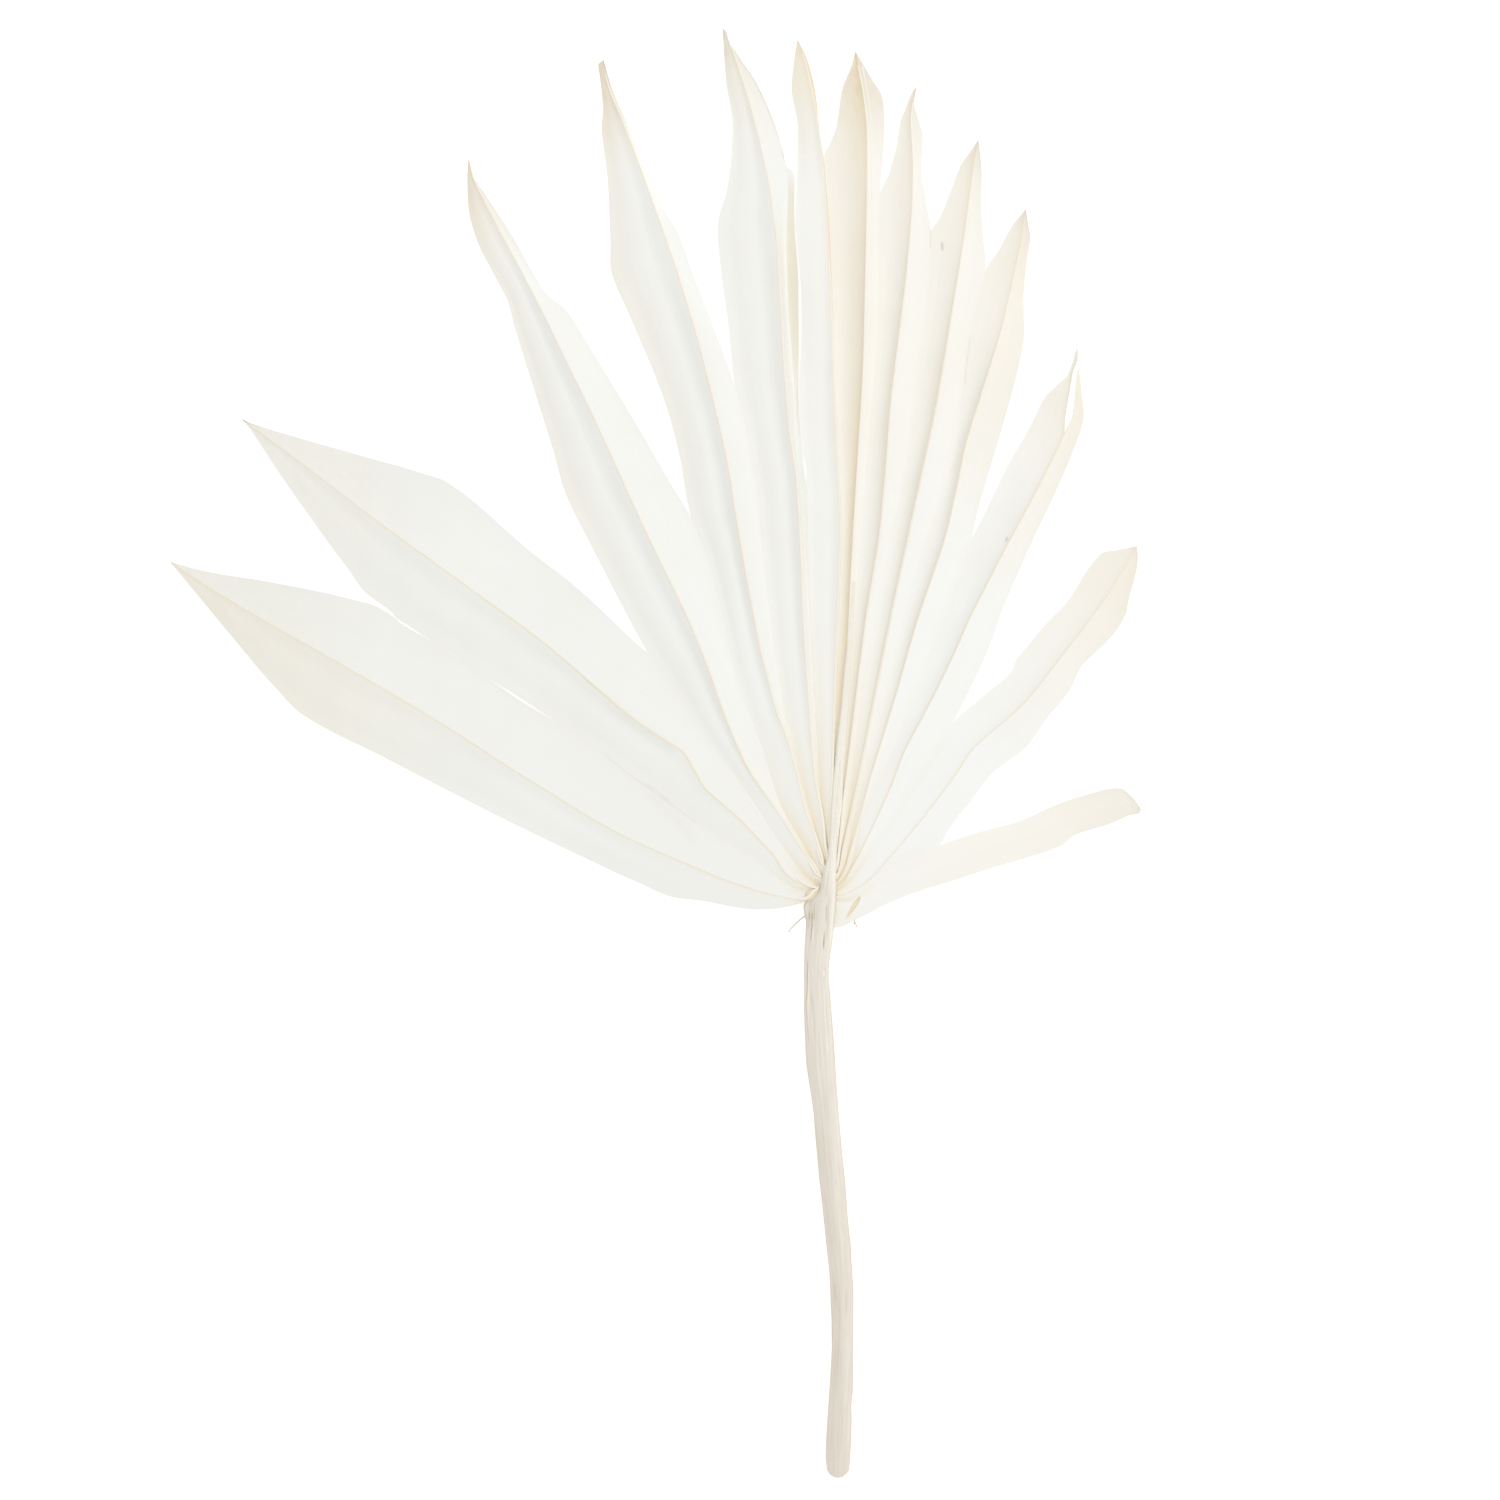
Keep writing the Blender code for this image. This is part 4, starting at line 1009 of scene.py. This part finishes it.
# Where the leftmost leaflets meet the stalk their midribs swell into pale lips: (x, y, z, radius).
LIPS = {
    1: [(-9.5, -1.6, 4.8, 0.45), (-7.6, -1.8, 5.3, 0.6), (-6.3, -1.6, 5.8, 0.62), (-5.2, -0.8, 6.2, 0.55),
        (-4.4, 0.2, 6.2, 0.5), (-3.6, 1.0, 6.0, 0.45), (-2.3, 1.5, 5.6, 0.4)],
    2: [(-9.6, 5.3, 5.0, 0.3), (-8.2, 4.0, 5.2, 0.36), (-6.1, 2.7, 5.4, 0.42), (-4.3, 2.0, 5.6, 0.45),
        (-2.2, 1.8, 5.6, 0.42)],
    3: [(-5.8, 10.6, 5.3, 0.25), (-4.6, 8.5, 5.6, 0.3), (-3.3, 6.5, 5.8, 0.36), (-1.4, 5.3, 5.8, 0.36)],
    4: [(-3.0, 14.0, 5.5, 0.22), (-1.7, 10.2, 5.8, 0.28), (-0.3, 8.3, 6.2, 0.3)],
}
for number, lip in LIPS.items():
    lip = np.array(lip)
    make_strands(node_name(number) + "_lip", [(lip[:, :3], lip[:, 3])], strand, rib, node_name(number),
                 0.0)

# Loose fibres, torn from the edges at the foot of the blade: path and radius, thicker than real ones so that
# they show.
HAIRS = [
    ([(-6.6, -7.2, 4.2), (-8.2, -8.5, 3.0), (-9.7, -9.9, 2.2), (-11.0, -11.2, 1.8), (-11.9, -12.3, 1.6),
      (-11.5, -12.5, 1.4)], 0.19),
    ([(9.0, -8.3, 4.6), (9.2, -9.2, 4.2), (9.6, -10.0, 3.4), (9.8, -10.9, 2.6)], 0.19),
    ([(9.2, -9.2, 4.2), (8.8, -9.9, 3.6)], 0.16),
]
HAIR_TONE = -0.6
make_strands("stalk_hairs", HAIRS, strand, wood, "stalk", HAIR_TONE, sides=6)

# The fused feet of the leaflets, seen only at the bottom of the folds round the hub: low domes, each by its
# middle, half lengths and top.
CROWNS = {
    "stalk_crown": ((-0.9, 9.0), (8.6, 14.5), 4.25),
    "stalk_crown_inner": ((-1.6, 3.2), (4.0, 6.0), 5.3),
    "stalk_crown_lip": ((-3.6, -0.8), (3.9, 3.1), 6.3),
}


CROWN_RINGS, CROWN_SIDES = 14, 72
CROWN_DROP = 3.2  # how far its rim lies below its top
CROWN_SHEET = 0.8
CROWN_WAVE = 0.05  # how far its rim waves in and out, in seven waves


def make_crown(name, middle, half, top):
    """A low dome of blade fibre."""
    turn = np.linspace(0, 2 * math.pi, CROWN_SIDES, endpoint=False)
    wave = 1 + CROWN_WAVE * np.sin(turn * 7 + 1)
    points, grain = [(*middle, top)], [(0.0, 0.0)]
    for ring in range(1, CROWN_RINGS + 1):
        out = ring / CROWN_RINGS
        for k in range(CROWN_SIDES):
            x = middle[0] + half[0] * out * wave[k] * math.cos(turn[k])
            y = middle[1] + half[1] * out * wave[k] * math.sin(turn[k])
            points.append((x, y, top - CROWN_DROP * out**4))
            grain.append((turn[k] * 6, out * 14))
    a = 1 + np.arange(CROWN_RINGS * CROWN_SIDES).reshape(CROWN_RINGS, CROWN_SIDES)
    b = np.roll(a, -1, axis=1)
    faces = [np.column_stack((np.zeros(CROWN_SIDES, int), a[0], b[0], b[0])),
             np.stack((a[:-1], a[1:], b[1:], b[:-1]), axis=-1).reshape(-1, 4)]
    points, faces = thicken(np.array(points), np.concatenate(faces), np.full(len(points), CROWN_SHEET))
    # Partly painted shade: the crowns lie at the bottom of the folds round the hub.
    amber_and_shade = np.full(len(points), CROWN_AMBER_SHADE)
    scar = 0.05 + 0.05 * ripple(points[:, 0] * 2, points[:, 1], 3, seed=61)
    grain = np.concatenate([grain, grain])
    attributes = dict(grain=grain, amber_and_shade=amber_and_shade, warm=amber_and_shade, left_side_shade=0 * amber_and_shade, scar=scar)
    add_piece(make_mesh(name, points, faces, attributes, blade), "stalk")


for name, (middle, half, top) in CROWNS.items():
    make_crown(name, middle, half, top)

# The middle of the blade carries the stalk on as a costa, a stiff rib: its edges beyond the hub.
COSTA_LEFT = [(1.5, 26), (2.2, 36), (3.5, 48), (5.0, 60), (6.2, 75), (7.2, 86), (8.4, 100)]
COSTA_RIGHT = [(4.2, 26), (5.2, 36), (6.4, 48), (7.3, 60), (8.0, 75), (8.7, 86), (9.4, 100)]

# Heights of the top and the underside, by distance along the stalk: (y, z).
STALK_TOP = [(-186.3, 8.5), (-150, 8.7), (-30, 8.7), (-12, 9.0), (0, 9.1), (10, 8.1), (20, 6.8), (36, 5.3),
             (48, 4.7), (60, 4.1), (75, 3.4), (86, 3.0), (100, 2.6)]
STALK_UNDER = [(-186.3, 0.1), (-14, 0.1), (0, 0.8), (12, 3.0), (30, 3.2), (60, 2.4), (86, 1.6), (100, 1.2)]

# Grooves and ridges on the top of the stalk: path of (x, y), half width, height, and tone. A negative tone
# is dark, a positive one pale.
STALK_MARKS = [
    ([(-6.2, -19), (-6.0, -28), (-6.35, -36), (-5.8, -43), (-5.2, -50)], 0.2, -0.4, -0.9),
    ([(-5.5, -22), (-5.6, -32), (-5.7, -40), (-5.1, -50)], 0.2, 0.28, 0.8),
    ([(-4.9, -30), (-4.4, -39)], 0.3, -0.12, -0.4),
    ([(-1.5, -27.5), (-0.7, -31), (-0.4, -38), (0.1, -46), (0.2, -54)], 0.35, 0.22, 0.6),
    ([(-0.9, -27), (-0.2, -33), (0.2, -42), (0.4, -50)], 0.14, -0.2, -0.8),
    ([(-4.7, -3.5), (-4.6, -9), (-4.9, -13), (-5.2, -17.5)], 0.2, -0.6, -1.0),
    ([(-5.6, -4), (-5.4, -9), (-5.6, -12)], 0.15, -0.3, -0.6),
    ([(-3.9, -3), (-4.0, -9.5)], 0.15, -0.3, -0.7),
    ([(-4.3, -10), (-4.4, -15)], 0.16, 0.2, 0.9),
    ([(-5.2, -8), (-5.0, -14)], 0.14, 0.2, 0.9),
    ([(0.2, -2), (0.0, -7), (-0.3, -10.5)], 0.15, -0.4, -1.0),
    ([(-0.5, -11), (-0.7, -15), (-0.9, -19)], 0.17, -0.5, -1.0),
    ([(0.9, 2), (0.7, -4), (0.6, -10), (0.2, -16)], 0.15, -0.2, -0.7),
    ([(1.6, 15), (0.9, 8), (0.1, 2), (-0.4, -3)], 0.15, -0.2, -0.8),
    ([(2.6, 14), (2.5, 4), (2.3, -4), (1.7, -11), (1.2, -18)], 0.5, 0.28, 1.0),
    ([(4.6, 45), (3.7, 34), (3.2, 28), (2.6, 20), (2.2, 14)], 0.14, -0.2, -1.2),
    ([(4.9, 42), (4.5, 38), (3.7, 28), (3.0, 19)], 0.12, -0.15, -1.2),
    ([(3.9, 44), (2.9, 34), (2.4, 26)], 0.12, -0.1, -0.9),
    ([(7.6, 75), (6.7, 58), (5.9, 46), (4.9, 36), (4.1, 26), (3.6, 18)], 0.3, 0.2, 0.7),
    ([(6.2, 75), (5.2, 58), (4.0, 46), (2.8, 36), (2.0, 26), (1.6, 20)], 0.3, 0.12, 0.6),
    ([(2.6, -123), (2.9, -131)], 0.3, -0.12, -0.3),
    ([(6.1, -124), (6.4, -129), (6.2, -136)], 0.35, -0.16, -0.4),
    ([(1.8, -62), (2.6, -80), (4.0, -100), (5.2, -118), (6.2, -140), (5.8, -165)], 1.1, 0.2, 0.3),
]
KNOB = (-1.2, -25.4)  # where a bract came off: a small healed knob
KNOB_HALF = (1.0, 1.5)  # its half width and half length

STALK_CUT, COSTA_END = -186.3, 100.0
RING_STEP, RING_SIDES = 0.55, 176
CUT_ROUNDING = 1.6  # how far in from the cut end its edge is rounded
CUT_BOW = 2.0  # how far the cut end is bowed
BOXINESS = 2.35  # 2 makes the cross-section an ellipse, and more makes it boxier
SHOULDER_DROP = 1.9  # how far the stalk's left side sinks where the blade begins
FIBRES = ((0.5, 0.03), (0.8, 0.04), (1.5, 0.05), (2.9, 0.06))  # spacing round the stalk and height
GIRTH = 27  # distance round the stalk
MEAN_RADIUS = 4.2  # turns an angle round the stalk into millimetres of grain
LUMPS, ROUGHNESS = 0.10, 0.10  # heights of its slow lumps, and of the torn skin below the hub


def mark_share(x, y, path, half_width):
    """How strongly each point lies on a mark: 1 along its path, fading at the sides and both ends."""
    line = np.array(sorted(path, key=lambda p: p[1]), float)
    middle = curve_through(line[:, 1], line[:, 0])(y)
    low, high = line[0, 1], line[-1, 1]
    fade = min(4.0, (high - low) / 3)
    ends = smooth(low, low + fade, y) * (1 - smooth(high - fade, high, y))
    uneven = 0.8 + 0.2 * ripple(x * 2, y, 5, seed=17)
    return np.exp(-(((x - middle) / half_width) ** 2)) * ends * uneven


def bump_at(distance, width):
    return np.exp(-((distance / width) ** 2))


def make_stalk():
    """The stalk and the costa it runs on into: one body of rings, rough with fibres, split and scarred."""
    # Its plan and its height.
    y = np.arange(STALK_CUT, COSTA_END, RING_STEP)
    left = np.array(STALK_LEFT + COSTA_LEFT, float)
    right = np.array(STALK_RIGHT + COSTA_RIGHT, float)
    x0 = np.interp(y, left[:, 1], left[:, 0])
    x1 = np.interp(y, right[:, 1], right[:, 0])
    kernel = np.hanning(7) / np.hanning(7).sum()
    x0, x1 = [np.convolve(np.pad(v, 3, mode="edge"), kernel, mode="valid") for v in (x0, x1)]
    top = np.interp(y, *np.array(STALK_TOP).T)
    under = np.interp(y, *np.array(STALK_UNDER).T)
    end = np.sqrt(np.clip((y - y[0] + 0.25) / CUT_ROUNDING, 0, 1))
    middle, half = (x0 + x1) / 2, (x1 - x0) / 2 * (0.96 + 0.04 * end)
    tall, centre = (top - under) / 2 * (0.94 + 0.06 * end), (top + under) / 2

    # Its rings.
    turn = np.linspace(0, 2 * math.pi, RING_SIDES, endpoint=False)[None]
    rows = y[:, None]
    bend_x, bend_z = np.cos(turn), np.sin(turn)
    boxy = 1 / (np.abs(bend_x) ** BOXINESS + np.abs(bend_z) ** BOXINESS) ** (1 / BOXINESS)
    x = middle[:, None] + half[:, None] * bend_x * boxy
    z = centre[:, None] + tall[:, None] * bend_z * boxy
    shoulder = smooth(-15, -9, rows) * (1 - smooth(-3, 3, rows)) * (1 - smooth(-5.5, -1.2, x))
    upper = smooth(-0.2, 0.4, bend_z)
    z = z - SHOULDER_DROP * shoulder * upper

    # Its skin: "out" is how far it stands out, and "tone" how dark or pale it is.
    sweep = turn * (half[:, None] + tall[:, None]) / 2
    slender = np.clip(half / 4, 0.2, 1)[:, None]
    fibre = 0
    draw = np.random.default_rng(8)
    for pitch, size in FIBRES:
        wander = 0.5 * np.sin(rows / draw.uniform(15, 30) + draw.uniform(0, 6))
        patchy = 0.55 + 0.45 * np.sin(rows / draw.uniform(9, 21) + sweep * 0.7 + draw.uniform(0, 6))
        count = max(3, round(GIRTH / pitch))
        fibre = fibre + size * patchy * np.sin(turn * count + wander * 2) * slender
    fibre = fibre * (0.4 + 0.6 * smooth(-80, -40, rows))
    lumps = LUMPS * ripple(sweep * 1.5, rows * 0.35, 9, seed=12)
    torn = smooth(-14, -7, rows) * (1 - smooth(-1, 4, rows)) * (x < -1)
    rough = ROUGHNESS * ripple(x, rows, 2.2, seed=21) * torn
    out = fibre + lumps + rough
    tone = 0.5 * fibre + 1.1 * smooth(-4, 18, rows) + 0.2 * smooth(-80, -15, rows)
    tone = tone - 0.12 * (1 - smooth(-110, -60, rows))
    # Painted shade: the stalk's steep sides are darkened near the hub, against the light bounced up from the
    # floor.
    tone = tone - 0.35 * smooth(0.78, 0.97, np.abs(bend_x)) * (1 - smooth(0, 20, rows))
    for path, width, height, shade in STALK_MARKS:
        share = mark_share(x, rows, path, width) * upper
        out = out + height * share
        tone = tone + shade * share
    apart = np.hypot((x - KNOB[0]) / KNOB_HALF[0], (rows - KNOB[1]) / KNOB_HALF[1])
    healed = 0.6 + 0.4 * ripple(x, rows, 1.6, seed=27)
    groove = bump_at(apart - 1.15, 0.35) * healed
    out = out + upper * (0.4 * bump_at(apart, 0.8) - 0.15 * groove)
    tone = tone + upper * (0.25 * bump_at(apart, 0.7) - 0.4 * groove)
    brown = upper * shoulder * (0.18 + 0.2 * ripple(x * 1.5, rows * 0.5, 2.5, seed=31))
    tone = tone - brown
    x = x + out * bend_x
    z = np.maximum(z + out * bend_z, 0.02)
    cut = 0.1 * ripple(x, z, 2.5, seed=41) * (rows < y[0] + 0.1)
    across = (x - middle[:, None]) / half[:, None]
    bowed = CUT_BOW * across**2 * (1 - smooth(y[0], y[0] + 8, rows))
    y2 = rows + bowed + cut

    # Its mesh, closed at both ends.
    points = np.stack((x, np.broadcast_to(y2, x.shape), z), axis=-1).reshape(-1, 3)
    a = np.arange(len(points)).reshape(x.shape)
    b = np.roll(a, -1, axis=1)
    faces = np.stack((a[:-1], b[:-1], b[1:], a[1:]), axis=-1).reshape(-1, 4)
    grain = np.stack((np.broadcast_to(turn * MEAN_RADIUS, x.shape), np.broadcast_to(rows, x.shape)), axis=-1)
    grain, tone = grain.reshape(-1, 2), tone.ravel()
    ends = []
    for row, end_tone in ((0, -0.4), (-1, 0.0)):
        points = np.concatenate((points, points[a[row]].mean(axis=0)[None]))
        grain = np.concatenate((grain, grain[a[row]].mean(axis=0)[None]))
        tone = np.append(tone, end_tone)
        hub = np.full(RING_SIDES, len(points) - 1)
        i, j = (b[row], a[row]) if row == 0 else (a[row], b[row])
        ends.append(np.column_stack((i, j, hub, hub)))
    faces = np.concatenate((faces, *ends))
    obj = make_mesh("stalk_and_costa", points, faces, dict(grain=grain, tone=tone), wood)
    add_piece(obj, "stalk")


make_stalk()

# ---------------------------------------------------------------------------------------------
# The floor, the lights and the camera, in metres
# ---------------------------------------------------------------------------------------------

FLOOR_HALF = 12.0
FLOOR_GLOW = 0.35  # lifts the paper to plain white without washing out the leaf
WORLD_LIGHT = 0.725
KEY_PLACE, KEY_SIZE, KEY_POWER = (1.5, 0.7, 1.7), 0.7, 9.0  # from the right, so that the folds show
FILL_PLACE, FILL_SIZE, FILL_POWER = (0.0, 0.0, 2.4), 2.0, 9.0
LENS, SENSOR = 100, 36
CAMERA_HEIGHT = 1.337
CAMERA_FROM_HUB = (-24.3, 45.8)  # in millimetres


def make_floor():
    mesh = bpy.data.meshes.new("floor")
    size = FLOOR_HALF
    mesh.from_pydata([(-size, -size, 0), (size, -size, 0), (size, size, 0), (-size, size, 0)], [],
                     [(0, 1, 2, 3)])
    material, tree, shader = new_material("matt white paper")
    shader.inputs["Base Color"].default_value = colour(PAPER_WHITE)
    shader.inputs["Roughness"].default_value = 0.9
    shader.inputs["Specular IOR Level"].default_value = 0.1
    shader.inputs["Emission Color"].default_value = (1, 1, 1, 1)
    shader.inputs["Emission Strength"].default_value = FLOOR_GLOW
    mesh.materials.append(material)
    floor = bpy.data.objects.new("floor", mesh)
    bpy.context.scene.collection.objects.link(floor)


def add_light(name, place, size, power):
    """A round soft light that points at the middle of the floor."""
    data = bpy.data.lights.new(name, "AREA")
    data.shape = "DISK"
    data.size = size
    data.energy = power
    light = bpy.data.objects.new(name, data)
    light.location = place
    way = mathutils.Vector(np.negative(place))
    light.rotation_euler = way.to_track_quat("-Z", "Y").to_euler()
    bpy.context.scene.collection.objects.link(light)


make_floor()
add_light("key", KEY_PLACE, KEY_SIZE, KEY_POWER)
add_light("fill", FILL_PLACE, FILL_SIZE, FILL_POWER)

scene = bpy.context.scene
world = bpy.data.worlds.new("soft studio")
scene.world = world
world.use_nodes = True
background = world.node_tree.nodes["Background"]
background.inputs["Color"].default_value = (1, 1, 1, 1)
background.inputs["Strength"].default_value = WORLD_LIGHT
scene.view_settings.view_transform = "Standard"

lens = bpy.data.cameras.new("camera")
lens.lens = LENS
lens.sensor_width = SENSOR
camera = bpy.data.objects.new("camera", lens)
camera_x = (HUB[0] + CAMERA_FROM_HUB[0]) * MM
camera_y = (HUB[1] + CAMERA_FROM_HUB[1]) * MM
camera.location = (camera_x, camera_y, CAMERA_HEIGHT)
camera.rotation_euler = (0, 0, 0)
scene.collection.objects.link(camera)
scene.camera = camera
